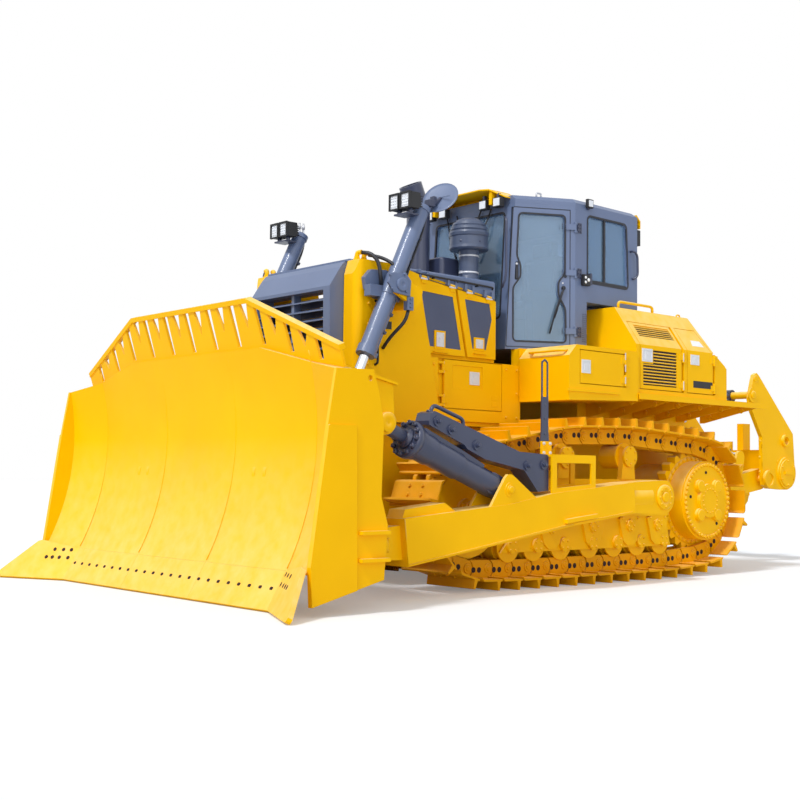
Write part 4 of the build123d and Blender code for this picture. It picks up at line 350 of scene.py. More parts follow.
COAT_ROUGHNESS = 0.12
GRAIN_DEPTH = 0.0006
HAZE = 0.24                   # share of the glass that scatters light
TOP_LIGHT_PALE = linear(255, 234, 176)  # painted highlight on upward faces, standing in for light from above
YELLOW = painted("yellow_paint", linear(253, 192, 0), 0.42, top_light=1.0, specular=0.1)
TRACK = painted(
    "track_paint", linear(236, 168, 0), 0.5, mottle=0.08, grain=0.35, edge=0.006, top_light=0.35, specular=0.1
)
GREY = painted("grey_paint", linear(98, 114, 148), 0.42, coat=0.15, grain=0.25)
DARK = painted("dark_paint", linear(55, 62, 88), 0.36, coat=0.25, grain=0.25)
BLACK = plain("black_plastic", linear(28, 29, 33), 0.55)
RUBBER = plain("hose_rubber", linear(34, 36, 44), 0.5)
STEEL = plain("bright_steel", linear(214, 216, 222), 0.35, metallic=0.25, grain=0.1)
CHROME = plain("rod_steel", linear(215, 218, 224), 0.12, metallic=1.0, grain=0.03)
LED = plain("lamp_lens", linear(235, 240, 248), 0.25)
INTERIOR = plain("interior_black", linear(40, 42, 48), 0.65)
# Dark brown painted shade, put in link windows, plug sockets, bolt recesses, behind louvres and on hull
# holes.
SHADE_BROWN = plain("shadow_brown", linear(40, 18, 10), 0.8)
CASING = painted("casing_grey", linear(70, 82, 108), 0.42, coat=0.15, grain=0.25)
SILVER = plain("latch_silver", linear(222, 224, 228), 0.4, grain=0.1)
SLEEVE = painted("sleeve_blue", linear(40, 46, 74), 0.3, coat=0.3)
MESH = plain("window_mesh", linear(74, 84, 112), 0.6, grain_scale=900.0, grain=0.8)
FABRIC = plain("seat_fabric", linear(52, 58, 78), 0.85, grain_scale=700.0, grain=0.6)
LABEL = plain("bare_label", linear(236, 238, 240), 0.5)
ENGINE = plain("engine_grey", linear(110, 112, 116), 0.6, grain=0.5)
GLASS = glass("window_glass")
SLOT_LOOKS = {
    "yellow_paint": YELLOW, "track_paint": TRACK, "grey_paint": GREY, "dark_paint": DARK, "rod_steel": CHROME,
    "window_glass": GLASS, "interior_black": INTERIOR, "engine_grey": ENGINE,
}
NODE_LOOKS = {
    "air_cleaner": CASING, "exhaust_stack": DARK, "brace_rods": DARK, "ripper_tilt_rods": SLEEVE,
}


def dress_cad_nodes():
    """Gives each CAD node the finish of its material slot, or its own."""
    for part in frame["record"]["subparts"]:
        solid = frame["nodes"][part["node"]]
        look = NODE_LOOKS.get(part["node"], SLOT_LOOKS[part["material_slot"]])
        solid.data.materials.clear()
        solid.data.materials.append(look)


dress_cad_nodes()


# ---- Tracks: shoes and links one by one, on the CAD belt's path ----
GAUGE = 1130.0                # from the machine's middle to a track's middle
DRIVE_X, DRIVE_Z = -1650, 793
SHOE_HALF = 305.0
BOX_FLOOR = 552.3             # underside of the track frames
PITCH = 260.35
BELT = (
    # (x, z, radius of the pin line) of each wheel that the belt goes round
    (1775.0, 695.0, 495.0), (560.0, 1220.0, 195.0), (-400.0, 1243.0, 195.0), (-1650.0, 793.0, 564.5),
    (-990.0, 384.3, 199.3), (1285.0, 384.3, 199.3),
)


def belt_links():
    """Each link's first pin, heading, outward normal and length, in (x, z)."""
    normals = []
    for index, (x, z, radius) in enumerate(BELT):
        next_x, next_z, next_radius = BELT[(index + 1) % len(BELT)]
        heading = math.atan2(next_z - z, next_x - x)
        normals.append(heading - math.acos((radius - next_radius) / math.hypot(next_x - x, next_z - z)))
    spans = []
    for index, (x, z, radius) in enumerate(BELT):
        arrive, leave = normals[index - 1], normals[index]
        spans.append(("arc", radius * ((leave - arrive) % (2 * math.pi)), (x, z, radius, arrive)))
        next_x, next_z, next_radius = BELT[(index + 1) % len(BELT)]
        start = (x + radius * math.cos(leave), z + radius * math.sin(leave))
        end = (next_x + next_radius * math.cos(leave), next_z + next_radius * math.sin(leave))
        spans.append(("line", math.dist(start, end), (start, end)))
    total = sum(length for _, length, _ in spans)
    count = round(total / PITCH)
    pins = []
    for number in range(count):
        along = number * total / count
        for kind, length, shape in spans:
            if along <= length:
                break
            along -= length
        if kind == "arc":
            x, z, radius, arrive = shape
            turn = arrive + along / radius
            pins.append((x + radius * math.cos(turn), z + radius * math.sin(turn)))
        else:
            (x, z), (end_x, end_z) = shape
            pins.append((x + (end_x - x) * along / length, z + (end_z - z) * along / length))
    links = []
    for index, pin in enumerate(pins):
        after = pins[(index + 1) % count]
        length = math.dist(pin, after)
        heading = Vector(((after[0] - pin[0]) / length, 0, (after[1] - pin[1]) / length))
        links.append((Vector((pin[0], 0, pin[1])), heading, Vector((heading.z, 0, -heading.x)), length))
    return links


NOSE_TURN = [math.radians(degrees) for degrees in range(117, 244, 14)]
LINK_NOSE = [(30 + 90 * math.cos(turn), 5 + 90 * math.sin(turn)) for turn in NOSE_TURN]
SHOE = (
    # (along, outward) corners of a shoe's section: front lip, plate, grouser, plate, curved rear lip
    (6, 85), (8, 99), (16, 105), (30, 105), (38, 184.5), (60, 184.5), (72, 105), (232, 105), (247, 93),
    (261, 72), (254, 68), (238, 82), (226, 85),
)


def make_tracks():
    """The two tracks stand in for their CAD belts."""
    shoes, links, marks, bolts = shapes(4)
    for pin, heading, out, length in belt_links():
        middle = pin + Y * GAUGE
        scale = length / PITCH
        shoes.slab([(a * scale, b) for a, b in SHOE], -SHOE_HALF, SHOE_HALF, middle, heading, out, Y)
        tail = [(a + length - 14, b) for a, b in reversed(LINK_NOSE)]
        for side in (-1, 1):
            low, high = sorted((side * 62, side * 107))
            links.slab(list(LINK_NOSE) + tail, low, high, middle, heading, out, Y)
            face = side * 107
            boss = middle + Y * face
            links.lathe(boss, Y * side, ((0, 44), (5, 44), (8, 40)), 16)
            links.lathe(boss, Y * side, ((0, 22), (13, 22), (15, 18)), 12)
            for along in (112, 182):
                # Dark discs at the link windows: painted shade in place of the holes.
                hole = middle + heading * along + out * 14 + Y * (face + side * 0.4)
                marks.lathe(hole, Y * side, ((0, 26), (0.6, 26)), 14)
                nut = middle + heading * along + out * 62 + Y * (face - side * 22)
                links.bolt(nut, out * -1, 34, washer=False)
            for along in (112, 196):
                bolts.bolt(middle + heading * along + out * 104 + Y * (side * 85), out, 36)
    for side, sign in SIDES:
        flip = (lambda shape: shape) if sign > 0 else (lambda shape: shape.mirrored())
        plates = flip(shoes).piece(f"track_shoes_{side}", "chassis", TRACK, 2.0, "track_paint")
        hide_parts(f"track_{side}")
        flip(links).piece(f"track_links_{side}", "chassis", TRACK, 0.0, "track_paint")
        flip(marks).piece(f"track_windows_{side}", "chassis", SHADE_BROWN)
        flip(bolts).piece(f"track_bolts_{side}", "chassis", TRACK, 0.0, "track_paint")


def ring(shape, centre, axis, radius, count, size, start=0.0):
    """A circle of bolts round a centre, on a face."""
    axis = Vector(axis).normalized()
    first = Z if abs(axis.z) < 0.9 else X
    first = (first - axis * first.dot(axis)).normalized()
    second = axis.cross(first)
    for number in range(count):
        angle = start + 2 * math.pi * number / count
        shape.bolt(Vector(centre) + (first * math.cos(angle) + second * math.sin(angle)) * radius, axis, size)


def make_running_gear():
    """Bolts and caps on the final drives, rollers, frames and trunnions."""
    drive, plugs, frame_bolts, caps = shapes(4)
    ring(drive, (DRIVE_X, 1385, DRIVE_Z), Y, 382, 46, 38)
    ring(drive, (DRIVE_X, 1425, DRIVE_Z), Y, 128, 16, 20)
    for turn in range(4):
        angle = math.radians(45 + 90 * turn)
        place = (DRIVE_X + 215 * math.cos(angle), 1415, DRIVE_Z + 215 * math.sin(angle))
        drive.lathe(place, Y, ((0, 62), (9, 62), (13, 55)), 24)
    drive.lathe((DRIVE_X, 1180, DRIVE_Z), Y, ((0, 470), (8, 470), (8, 430)), 54)
    ring(drive, (DRIVE_X, 1188, DRIVE_Z), Y, 450, 36, 30)
    # Plug sockets in dark brown: painted shade inside their recesses.
    for angle in (86, 8, 235):
        spoke = math.radians(angle)
        place = (DRIVE_X + 300 * math.cos(spoke), 1385, DRIVE_Z + 300 * math.sin(spoke))
        plugs.lathe(place, Y, ((0, 17), (6, 17), (6, 11), (3, 10)), 12)
    for x in (1285, 940, 560, 140, -240, -610, -990):
        ring(frame_bolts, (x, 1321, 384), Y, 46, 4, 22, math.pi / 4)
    for x in (750, 140, -430, -880):
        ring(frame_bolts, (x, 1335, BOX_FLOOR - 10), Y, 40, 4, 22)
        for dx, dz in ((-120, 68), (-60, 30), (60, 30), (120, 68)):
            frame_bolts.bolt((x + dx, 1317, BOX_FLOOR + dz), Y, 24)
    for x, z in ((560, 1220), (-400, 1243)):
        ring(frame_bolts, (x, 1345, z), Y, 80, 6, 24)
        for dx in (-82, 82):
            frame_bolts.bolt((x + dx, 1300, z + 84), Z, 30)
    ring(frame_bolts, (1775, 1319, 695), Y, 92, 8, 26)
    caps.lathe((-370, 1775, 840), Y, ((0, 122), (14, 122), (22, 112), (22, 60), (16, 54)), 36)
    ring(caps, (-370, 1796, 840), Y, 92, 8, 24)
    caps.lathe((-370, 1776, 840), Y, ((0, 50), (26, 50), (32, 42)), 24)
    make_pairs(
        (drive, "final_drive_bolts", "chassis", YELLOW),
        (plugs, "final_drive_plugs", "chassis", SHADE_BROWN),
        (frame_bolts, "track_frame_bolts", "chassis", YELLOW),
        (caps, "trunnion_cap", "push_arms", YELLOW),
    )


# ---- Blade, push arms, braces and lift cylinders ----
ARM_MIDDLE = 1660.0
BRACE_REAR = Vector((1830, 0, 909))
BRACE_WAY = Vector((3218 - 1830, 0, 1438 - 909)).normalized()
LIFT_TOP = Vector((2448, 0, 2695))
LIFT_WAY = Vector((3260 - 2448, 0, 950 - 2695)).normalized()
LIFT_Y = 920.0
BRACE_UP = Vector((-BRACE_WAY.z, 0, BRACE_WAY.x))
LIFT_OUT = Vector((-LIFT_WAY.z, 0, LIFT_WAY.x))


def on_line(foot, way, along, up, y):
    """A point beside a cylinder: along it, up (or out) from its axis, at a width."""
    return foot + way * along + Vector((-way.z, 0, way.x)) * up + Y * y


def on_brace(along, up, y=ARM_MIDDLE):
    return on_line(BRACE_REAR, BRACE_WAY, along, up, y)


def on_lift(along, out=0.0, y=LIFT_Y):
    return on_line(LIFT_TOP, LIFT_WAY, along, out, y)


def blade_face(z):
    """How far forward the blade's curved face is at a height."""
    return 5949.8 - math.sqrt(2136.7 ** 2 - (z - 1342) ** 2)


def make_blade_trim():
    """Weld seams on the blade's face, bolts of the cutting edges and end bits, and pin covers."""
    seams, holes, caps = shapes(3)
    heights = [320 + 53 * step for step in range(32)]
    for y in (-548, 548, -1649, 1649):
        seams.tube([(blade_face(z) + 1, y, z) for z in heights], 4, 6)
    low = Vector((4083.4, 0, 301))
    way = (Vector((4247, 0, 20)) - low).normalized()
    out = Vector((-way.z, 0, way.x))
    # Bolt recesses on the cutting edge and end bits, as dark discs: painted shade.
    for number in range(23):
        for shift in (-7, 7):
            place = low + way * 150 + Y * (-1573 + 143 * number + shift) + out * 0.2
            holes.lathe(place, out, ((0, 14), (1.2, 14), (1.2, 9), (0.6, 8)), 14)
    foot, tip, top = Vector((4247, 1642, 20)), Vector((4588, 2338, 19)), Vector((4083.4, 1642, 301))
    run = (tip - foot).normalized()
    normal = run.cross(top - foot).normalized()
    rise = normal.cross(run)
    for along, up in (
        (10, 296), (100, 296), (200, 296), (20, 215), (120, 215), (200, 215), (270, 215),
    ):
        for sign in (1, -1):
            place = foot + run * along + rise * up + normal * 0.3
            place = Vector((place.x, place.y * sign, place.z))
            axis = Vector((normal.x, normal.y * sign, normal.z))
            holes.lathe(place, axis, ((0, 19), (1.2, 19), (1.2, 13), (0.6, 12)), 14)
    seams.piece("blade_weld_seams", "blade", YELLOW)
    holes.piece("cutting_edge_bolts", "blade", SHADE_BROWN)
    for y, x, z, radius in ((1815, 3300, 475, 76), (1788, 3218, 1438, 80)):
        caps.lathe((x, y, z), Y, ((0, radius), (8, radius), (12, radius - 6), (12, 20), (8, 14)), 32)
    ring(caps, (3300, 1811, 475), Y, 92, 6, 22)
    for side in (-1, 1):
        caps.lathe((3260, LIFT_Y + side * 110, 950), Y * side, ((0, 34), (6, 34), (9, 28)), 20)
    caps.pair("blade_pin_caps", "blade", YELLOW)


def make_arm_trim():
    """Bolts, weld lines and holes on the push arms, and the brace's bolted gland and guard."""
    arm, guard, handle, gland, silver = shapes(5)
    for y in (1516, 1804):
        arm.tube([(x, y, 585 + (1002 - x) * 0.145 + 16) for x in (1010, 2000, 2990)], 5, 6)
    arm.tube([(2998, 1803, 300), (3042, 1803, 672)], 5, 6)
    for x, z in ((1012, 1245), (1098, 1245), (1012, 1330), (1098, 1330)):
        silver.bolt((x, 1520, z), Y, 26)
    for along, up in ((960, 232), (790, 228), (470, 220)):
        guard.bolt(on_brace(along, up, 1771), Y, 34)
    for x, z in ((1560, 1120), (1350, 1130)):
        guard.bolt((x, 1771, z), Y, 34)
    for z in (1420, 1560, 1690):
        guard.lathe((1055, 1495, z), Y, ((0, 13), (1, 13), (1, 8)), 12)
    route = [on_brace(992, 296), on_brace(985, 372), on_brace(620, 396), on_brace(596, 322)]
    handle.hose([Vector(p) for p in route], 45, 17, 12)
    for place in (route[0], route[3]):
        handle.lathe(place, (route[1] - route[0]), ((-6, 34), (12, 34), (16, 28)), 18)
    face = on_brace(1152, 0)
    gland.lathe(on_brace(1086, 0), BRACE_WAY, ((0, 118), (10, 158), (66, 160), (74, 150)), 36)
    for number in range(12):
        angle = 2 * math.pi * number / 12
        spoke = BRACE_UP * math.cos(angle) + Y * math.sin(angle)
        place = face + spoke * 135
        gland.lathe(place, BRACE_WAY, ((0, 20), (30, 20), (34, 15), (34, 9), (24, 8)), 14)
    gland.lathe(on_brace(1160, 0), BRACE_WAY, ((0, 92), (14, 90), (30, 72), (44, 60)), 28)
    gland.slab(
        [(300, 60), (1035, 60), (1035, 140), (880, 136), (560, 128), (300, 112)], -62, 62,
        BRACE_REAR + Y * ARM_MIDDLE, BRACE_WAY, BRACE_UP, Y
    )
    arm.lathe((1830, 1810, 909), Y, ((0, 30), (6, 30), (9, 24)), 20)
    make_pairs(
        (arm, "push_arm_welds", "push_arms", YELLOW),
        (silver, "post_bolts", "push_arms", STEEL),
        (guard, "brace_guard_bolts", "push_arms", DARK),
        (handle, "brace_guard_handle", "push_arms", DARK),
        (gland, "brace_gland_bolts", "brace_barrels", DARK),
    )


def make_lift_trim():
    """Lamps, hoses and clamps on the lift cylinders, and the castings that hold their trunnions."""
    frames, leds, hoses, yokes, clamps, castings, elbows, plates = shapes(8)
    for middle in (LIFT_Y - 74, LIFT_Y + 74):
        hood = ((2250, 3404), (2222, 3440), (2236, 3548), (2345, 3548), (2352, 3404))
        frames.side_slab(hood, middle - 62, middle + 62)
        for low, high, z_low, z_high in (
            (-66, 66, 3534, 3550), (-66, 66, 3398, 3412), (-66, -52, 3412, 3534), (52, 66, 3412, 3534),
        ):
            frames.box((2352, middle + low, z_low), (2375, middle + high, z_high))
        leds.box((2352, middle - 50, 3414), (2362, middle + 50, 3532))
        for row in range(4):
            for column in range(4):
                place = (2362, middle - 36 + 24 * column, 3435 + 26 * row)
                leds.lathe(place, X, ((0, 9), (3, 9), (5, 6)), 8)
        for step in range(5):
            frames.box((2206, middle - 58, 3424 + 23 * step), (2240, middle + 58, 3431 + 23 * step))
        clamps.rod((2300, middle, 3366), (2300, middle, 3406), 22, 12, 3)
    clamps.box((2218, LIFT_Y - 92, 3352), (2352, LIFT_Y + 92, 3368))
    hoses.hose(
        [on_lift(-830, -60), on_lift(-700, -98), on_lift(-420, -92), on_lift(-80, -96),
        on_lift(60, -118)], 120, 11, 10
    )
    hoses.hose(
        [on_lift(-830, -50, 940), on_lift(-640, -90, 946), on_lift(-300, -90, 946),
        on_lift(-60, -100, 950), on_lift(40, -150, 960)], 120, 9, 10
    )
    for along in (-560, -330, 240, 420):
        clamps.slab(
            [(along - 14, -62), (along + 14, -62), (along + 14, -112), (along - 14, -112)], -26, 26,
            LIFT_TOP + Y * LIFT_Y, LIFT_WAY, LIFT_OUT, Y
        )
    castings.side_slab(
        ((2330, 2565), (2560, 2590), (2668, 2660), (2690, 2760), (2620, 2836), (2440, 2850),
        (2318, 2770)), 791, 843
    )
    castings.side_slab(
        ((2350, 2600), (2540, 2620), (2610, 2700), (2560, 2790), (2400, 2800), (2340, 2740)), 1041, 1062
    )
    for x, z in ((2400, 2640), (2560, 2650), (2590, 2770), (2420, 2790)):
        castings.bolt((x, 1062, z), Y, 30)
    castings.lathe((2448, 1041, 2695), Y, ((0, 62), (32, 62), (38, 54), (38, 24), (32, 18)), 28)
    castings.box((2560, 846, 2590), (2700, 930, 2690))
    castings.box((2300, 1000, 2480), (2372, 1052, 2600))
    for z in (2510, 2545, 2580):
        castings.bolt((2336, 1052, z), Y, 22)
    yokes.hose([(2640, 720, 3000), (2600, 820, 2985), (2560, 880, 2900), (2540, 890, 2700)], 90, 18, 14)
    yokes.hose([(2560, 730, 2985), (2480, 830, 2960), (2420, 950, 2880), (2340, 1026, 2600)], 90, 16, 14)
    yokes.hose([(2340, 1026, 2480), (2360, 1010, 2380), (2420, 880, 2250), (2440, 800, 2150)], 90, 16, 12)
    for x in (2660, 2580):
        elbows.hose([(x, 690, 2925), (x, 690, 3000), (x - 15, 735, 3000)], 34, 22, 12)
        elbows.lathe((x, 690, 2928), Z, ((0, 36), (16, 36), (16, 28), (34, 28)), 6)
    make_pairs(
        (hoses, "lift_hoses", "lift_barrels", RUBBER),
        (yokes, "yoke_hoses", "chassis", RUBBER),
        (castings, "trunnion_castings", "chassis", GREY, 4.0),
        (elbows, "hose_elbows", "chassis", YELLOW),
    )
    for side, sign in SIDES:
        twin = frames if sign > 0 else frames.mirrored()
        heads = twin.piece(f"lamp_frames_{side}", "lift_barrels", BLACK, 1.0)
        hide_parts("work_lamps")
    leds.pair("lamp_leds", "lift_barrels", LED)
    clamps.pair("lamp_mounts", "lift_barrels", DARK, 1.5)
    disc = Vector((0.80, 0.36, 0.48)).normalized()
    centre = Vector((1900, 960, 3570))
    plates.lathe(centre, disc, ((-9, 60), (-4, 140), (2, 172), (6, 172), (2, 146), (-3, 60), (-4, 4)), 40)
    plates.tube([centre + disc * 4 + Y * -120, centre + disc * 4 + Y * 120], 5, 6)
    plates.piece("mirror_disc", "lift_barrels", GREY)
    arm = Shape()
    arm.hose([on_lift(-800, -70), Vector((2010, 950, 3480)), centre - disc * 8], 60, 20, 12)
    arm.box((1985, 915, 3470), (2060, 985, 3530))
    arm.box((1960, 925, 3500), (2000, 975, 3570))
    arm.piece("mirror_bracket", "lift_barrels", DARK, 3.0)
    right = Shape()
    for x in (2010, 2060):
        right.hose([(2110, -985, 3380), (x, -985, 3390), (x, -985, 3560)], 50, 12, 10)
        right.lathe((x, -985, 3540), Z, ((0, 18), (34, 18), (38, 12), (60, 12)), 12)
    right.piece("lamp_fittings_right", "lift_barrels", STEEL)


# ---- Nose, hood, engine housing, fenders, rear housing and decks ----
HOOD_FALL = 0.11835           # rise of the hood's edge for each unit forward
SLOPE_FOOT = Vector((0, 1375, 2385))
SLOPE_WAY = (Vector((0, 1095, 2785)) - SLOPE_FOOT).normalized()
SLOPE_OUT = Vector((0, 400, 280)).normalized()
ON_SLOPE = (SLOPE_FOOT, X, SLOPE_WAY, SLOPE_OUT)


def latch(shape, x_low, x_high, z_low, z_high, face):
    """A pressed door latch: a plate with a raised paddle in a shallow frame."""
    shape.box((x_low, face, z_low), (x_high, face + 3, z_high))
    rim = 0.12 * (x_high - x_low)
    for low, high, bottom, top in (
        (x_low, x_high, z_high - rim, z_high), (x_low, x_high, z_low, z_low + rim),
        (x_low, x_low + rim, z_low + rim, z_high - rim), (x_high - rim, x_high, z_low + rim, z_high - rim),
    ):
        shape.box((low, face + 3, bottom), (high, face + 7, top))
    middle, height = (x_low + x_high) / 2, (z_low + z_high) / 2
    half = 0.2 * (x_high - x_low)
    shape.box((middle - half, face + 3, height - half * 1.5), (middle + half, face + 9, height + half * 1.2))
    shape.lathe((middle, face + 9, height + half * 0.4), Y, ((0, half * 0.5), (3, half * 0.5)), 12)


def make_nose_trim():
    """Bolts round the guard, handrails on the hood, clamps on the stack and the pre-cleaner."""
    bolts, rails, bands, marks, plates = shapes(5)
    for z in range(1640, 2760, 180):
        bolts.bolt((2600, 790, z), Y, 24)
    rails.hose([(1985, 640, 2895), (1965, 668, 2905), (905, 668, 2880), (885, 640, 2868)], 30, 10, 12)
    for x in (1700, 1400, 1120):
        rails.rod((x, 640, 2893 - (1985 - x) * 0.024), (x, 684, 2895 - (1985 - x) * 0.024), 9, 8)
    bolts.bolt((1880, 640, 2925), Y, 20)
    for z in (3052, 3222):
        bands.lathe((910, 330, z), Z, ((0, 101), (2, 103), (16, 103), (18, 101)), 40)
    bands.box((1006, 318, 3048), (1030, 342, 3074))
    marks.tube([(x, 642, 2762 + (x - 850) * HOOD_FALL) for x in (860, 1300, 1995)], 3, 6)
    for angle in range(0, 360, 60):
        spoke = math.radians(angle + 20)
        way = Vector((math.cos(spoke), math.sin(spoke), 0))
        marks.lathe(Vector((910, 330, 3360)) + way * 191, way, ((0, 11), (4, 11), (6, 7)), 10)
    for row in range(11):
        z = 1690 + 88 * row
        marks.box((2700, -505, z - 26), (2704, 505, z + 40))
    plates.box((2330, 790, 2330), (2450, 792.5, 2400))
    rails.hose([(2520, 790, 2000), (2520, 830, 2010), (2520, 830, 2560), (2520, 790, 2570)], 30, 11, 10)
    bolts.pair("guard_bolts", "chassis", YELLOW)
    rails.pair("hood_rails", "chassis", BLACK)
    bands.piece("pre_cleaner_clamps", "chassis", STEEL)
    marks.piece("hood_marks", "chassis", DARK)
    plates.pair("guard_plates", "chassis", BLACK)


def make_engine_doors():
    """Mesh, latches, hinge leaves and bolts on the engine housing and its doors."""
    mesh, latches, low_latch, hinges, screws, fixed = shapes(6)
    for outline in (
        ((1287, 2728), (949, 2714), (913, 2559), (994, 2256), (1180, 2256)),
        ((1875, 2751), (1448, 2731), (1335, 2230), (1740, 2237)),
    ):
        mesh.side_slab(outline, 655.4, 660)
    for x_low, x_high, z_low, z_high in ((1022, 1160, 2240, 2368), (1546, 1686, 2216, 2392)):
        latch(latches, x_low + 22, x_high - 22, z_low + 24, z_high - 18, 671.2)
    latch(low_latch, 1160, 1290, 1895, 2020, 738)
    for x in (930, 1200, 1430, 1800):
        z = 2766 + (x + 30 - 860) * HOOD_FALL
        hinges.box((x - 14, 673, z - 24), (x + 76, 676, z - 6))
        for dx in (4, 56):
            hinges.bolt((x + dx, 676, z - 15), Y, 10, washer=False)
    for z_low, z_high in ((1700, 1760), (2010, 2070)):
        screws.box((1628, 745, z_low - 26), (1652, 748, z_high + 26))
    for x, z in ((640, 1600), (640, 1840), (640, 2070), (790, 1600), (790, 2070), (1740, 1760), (1760, 2060)):
        fixed.bolt((x, 745, z), Y, 24)
    for x, z in ((900, 1700), (900, 1760)):
        fixed.box((x, 745, z), (x + 90, 747, z + 40))
    make_pairs(
        (mesh, "engine_mesh", "upper_doors_{side}", MESH),
        (latches, "upper_latches", "upper_doors_{side}", SILVER),
        (low_latch, "lower_latches", "lower_door_{side}", SILVER),
        (hinges, "upper_hinge_leaves", "upper_doors_{side}", SILVER),
        (screws, "lower_hinge_strips", "lower_door_{side}", STEEL),
        (fixed, "housing_bolts", "chassis", YELLOW),
    )


def make_rear_body():
    """Latches, louvre backs, hinge strips, rails, bare plates and cowl round the fenders and rear housing."""
    backs, slope_back, strips, rails, ribs, dark = shapes(6)
    # Dark sheets behind the side and slope louvres: painted shade.
    backs.box((-1128, 1366.0, 1973), (-565, 1367.0, 2337))
    slope_back.slab(((-1183, 89), (-590, 89), (-590, 235), (-1183, 235)), -8.0, -7.0, *ON_SLOPE)
    for z_low, z_high in ((1955, 2045), (2255, 2340)):
        strips.box((-1240, 1383, z_low), (-1228, 1390, z_high))
    rails.hose([(-531, 1080, 2785), (-531, 1080, 2850), (-1103, 1080, 2850), (-1103, 1080, 2785)], 55, 15, 12)
    rails.hose(
        [(-1640, 1000, 2785), (-1640, 1000, 2825), (-1700, 1000, 2825), (-1700, 1000, 2780)], 22, 9, 10
    )
    rails.hose([(560, 1330, 2240), (640, 1330, 2240), (640, 900, 2240), (560, 900, 2240)], 40, 14, 12)
    rails.side_slab(((646, 1846), (646, 1870), (-139, 1870), (-139, 1846)), 1400, 1418)
    for x in range(-2600, -599, 400):
        for y, z, radius in ((1330, 1838, 20), (780, 1745, 26)):
            ribs.lathe((x + 12, y, z), X, ((0, radius), (8, radius), (11, radius - 5)), 16)
        ribs.lathe((x + 12, 1200, 1800), X, ((0, 30), (5, 30), (5, 22)), 18)
    for z in (1960, 2080, 2200):
        strips.box((-236, 1408, z), (-226, 1414, z + 70))
    # A dark disc on the hull: painted shade in place of a hole.
    dark.lathe((-1350, 601, 1250), Y, ((0, 90), (1.5, 90)), 28)
    for name, door, corners in (
        ("fender_latch", "fender_door", (300, 430, 2030, 2160, 1400)),
        ("front_latch", "housing_front_door", (-711, -540, 2212, 2346, 1375)),
        ("rear_latch", "housing_rear_door", (-1524, -1372, 2234, 2342, 1375)),
    ):
        shape = Shape()
        latch(shape, *corners)
        shape.pair(name, door + "_{side}", SILVER)
    make_pairs(
        (backs, "side_louvre_back", "housing_front_door_{side}", SHADE_BROWN),
        (slope_back, "slope_louvre_back", "housing_front_door_{side}", SHADE_BROWN),
        (strips, "hinge_strips", "chassis", STEEL),
        (rails, "housing_rails", "chassis", YELLOW),
        (ribs, "deck_rib_bosses", "chassis", YELLOW),
        (dark, "hull_holes", "chassis", SHADE_BROWN),
    )
    cowl, panel = shapes(2)
    cowl.box((668, 250, 2300), (846, 262, 2780))
    panel.box((560, 732, 2125), (604, 742, 2300))
    cowl.pair("rear_cowl", "chassis", GREY)
    panel.pair("housing_filler", "chassis", YELLOW)
    bare = Shape()
    bare.box((-1770, 1375.2, 1992), (-1423, 1377, 2065))
    sticker = Shape()
    sticker.slab(((-1674, 70), (-1466, 70), (-1490, 150), (-1650, 150)), 0.2, 1.2, *ON_SLOPE)
    bare.pair("bare_plate", "housing_rear_door_{side}", BLACK)
    sticker.pair("bare_sticker", "housing_rear_door_{side}", LABEL)


# ---- Cab: seals, hinges, handles, wipers, lamps, roof loops and inside ----
PLATFORM = 2300.0
DOOR_FOOT = Vector((660, 600, PLATFORM))
DOOR_WAY = Vector((-660, 350, 0)).normalized()
DOOR_OUT = Vector((350, 660, 0)).normalized()
REAR_FOOT = Vector((0, 950, PLATFORM))
REAR_WAY = Vector((-1040, -20, 0)).normalized()
REAR_OUT = Vector((-20, 1040, 0)).normalized()
ON_DOOR = (DOOR_FOOT, DOOR_WAY, Z, DOOR_OUT)
ON_REAR = (REAR_FOOT, REAR_WAY, Z, REAR_OUT)
SCREEN_FOOT = Vector((660, 0, PLATFORM))
SCREEN_UP = Vector((-90, 0, 1490)).normalized()
SCREEN_OUT = Vector((1490, 0, 90)).normalized()
DOOR_WINDOW = (
    (148, 1378), (630, 1378), (628, 790), (558, 705), (558, 560), (634, 430), (640, 92), (92, 92), (90, 625),
    (168, 730), (168, 860), (128, 950),
)
SIDE_WINDOW = ((205, 738), (868, 738), (838, 1412), (205, 1412))
SCREEN = ((-500, 330), (500, 330), (500, 1400), (-500, 1400))


def corner_cut(outline, radius):
    """A closed outline with its corners rounded."""
    corners = [Vector((*point, 0)) for point in outline]
    route = []
    for index, corner in enumerate(corners):
        after = corners[(index + 1) % len(corners)]
        route += [(point.x, point.y) for point in bend(corners[index - 1], corner, after, radius, 0.45)]
    return route


def seal(shape, outline, radius, width, low, high, place, across, up, out):
    """A flat band round an opening, from its edge outward by a width."""
    edge = corner_cut(outline, radius)
    count = len(edge)
    area = sum(a[0] * b[1] - b[0] * a[1] for a, b in zip(edge, edge[1:] + edge[:1]))
    turn = 1 if area > 0 else -1
    outer = []
    for index, point in enumerate(edge):
        before, after = Vector(edge[index - 1]), Vector(edge[(index + 1) % count])
        way = (after - before).normalized()
        outer.append((point[0] + way.y * width * turn, point[1] - way.x * width * turn))
    rings = [[place + across * a + up * b + out * c for a, b in ring_line]
             for ring_line, c in ((edge, low), (edge, high), (outer, high), (outer, low))]
    points = [point for line in rings for point in line]
    faces = []
    for band in range(4):
        after_band = (band + 1) % 4
        faces += [
            (band * count + i, band * count + (i + 1) % count, after_band * count + (i + 1) % count,
             after_band * count + i)
            for i in range(count)
        ]
    shape.add(points, faces)


def on_door(along, up, out=0.0):
    return DOOR_FOOT + DOOR_WAY * along + Z * up + DOOR_OUT * out


def on_rear(along, up, out=0.0):
    return REAR_FOOT + REAR_WAY * along + Z * up + REAR_OUT * out


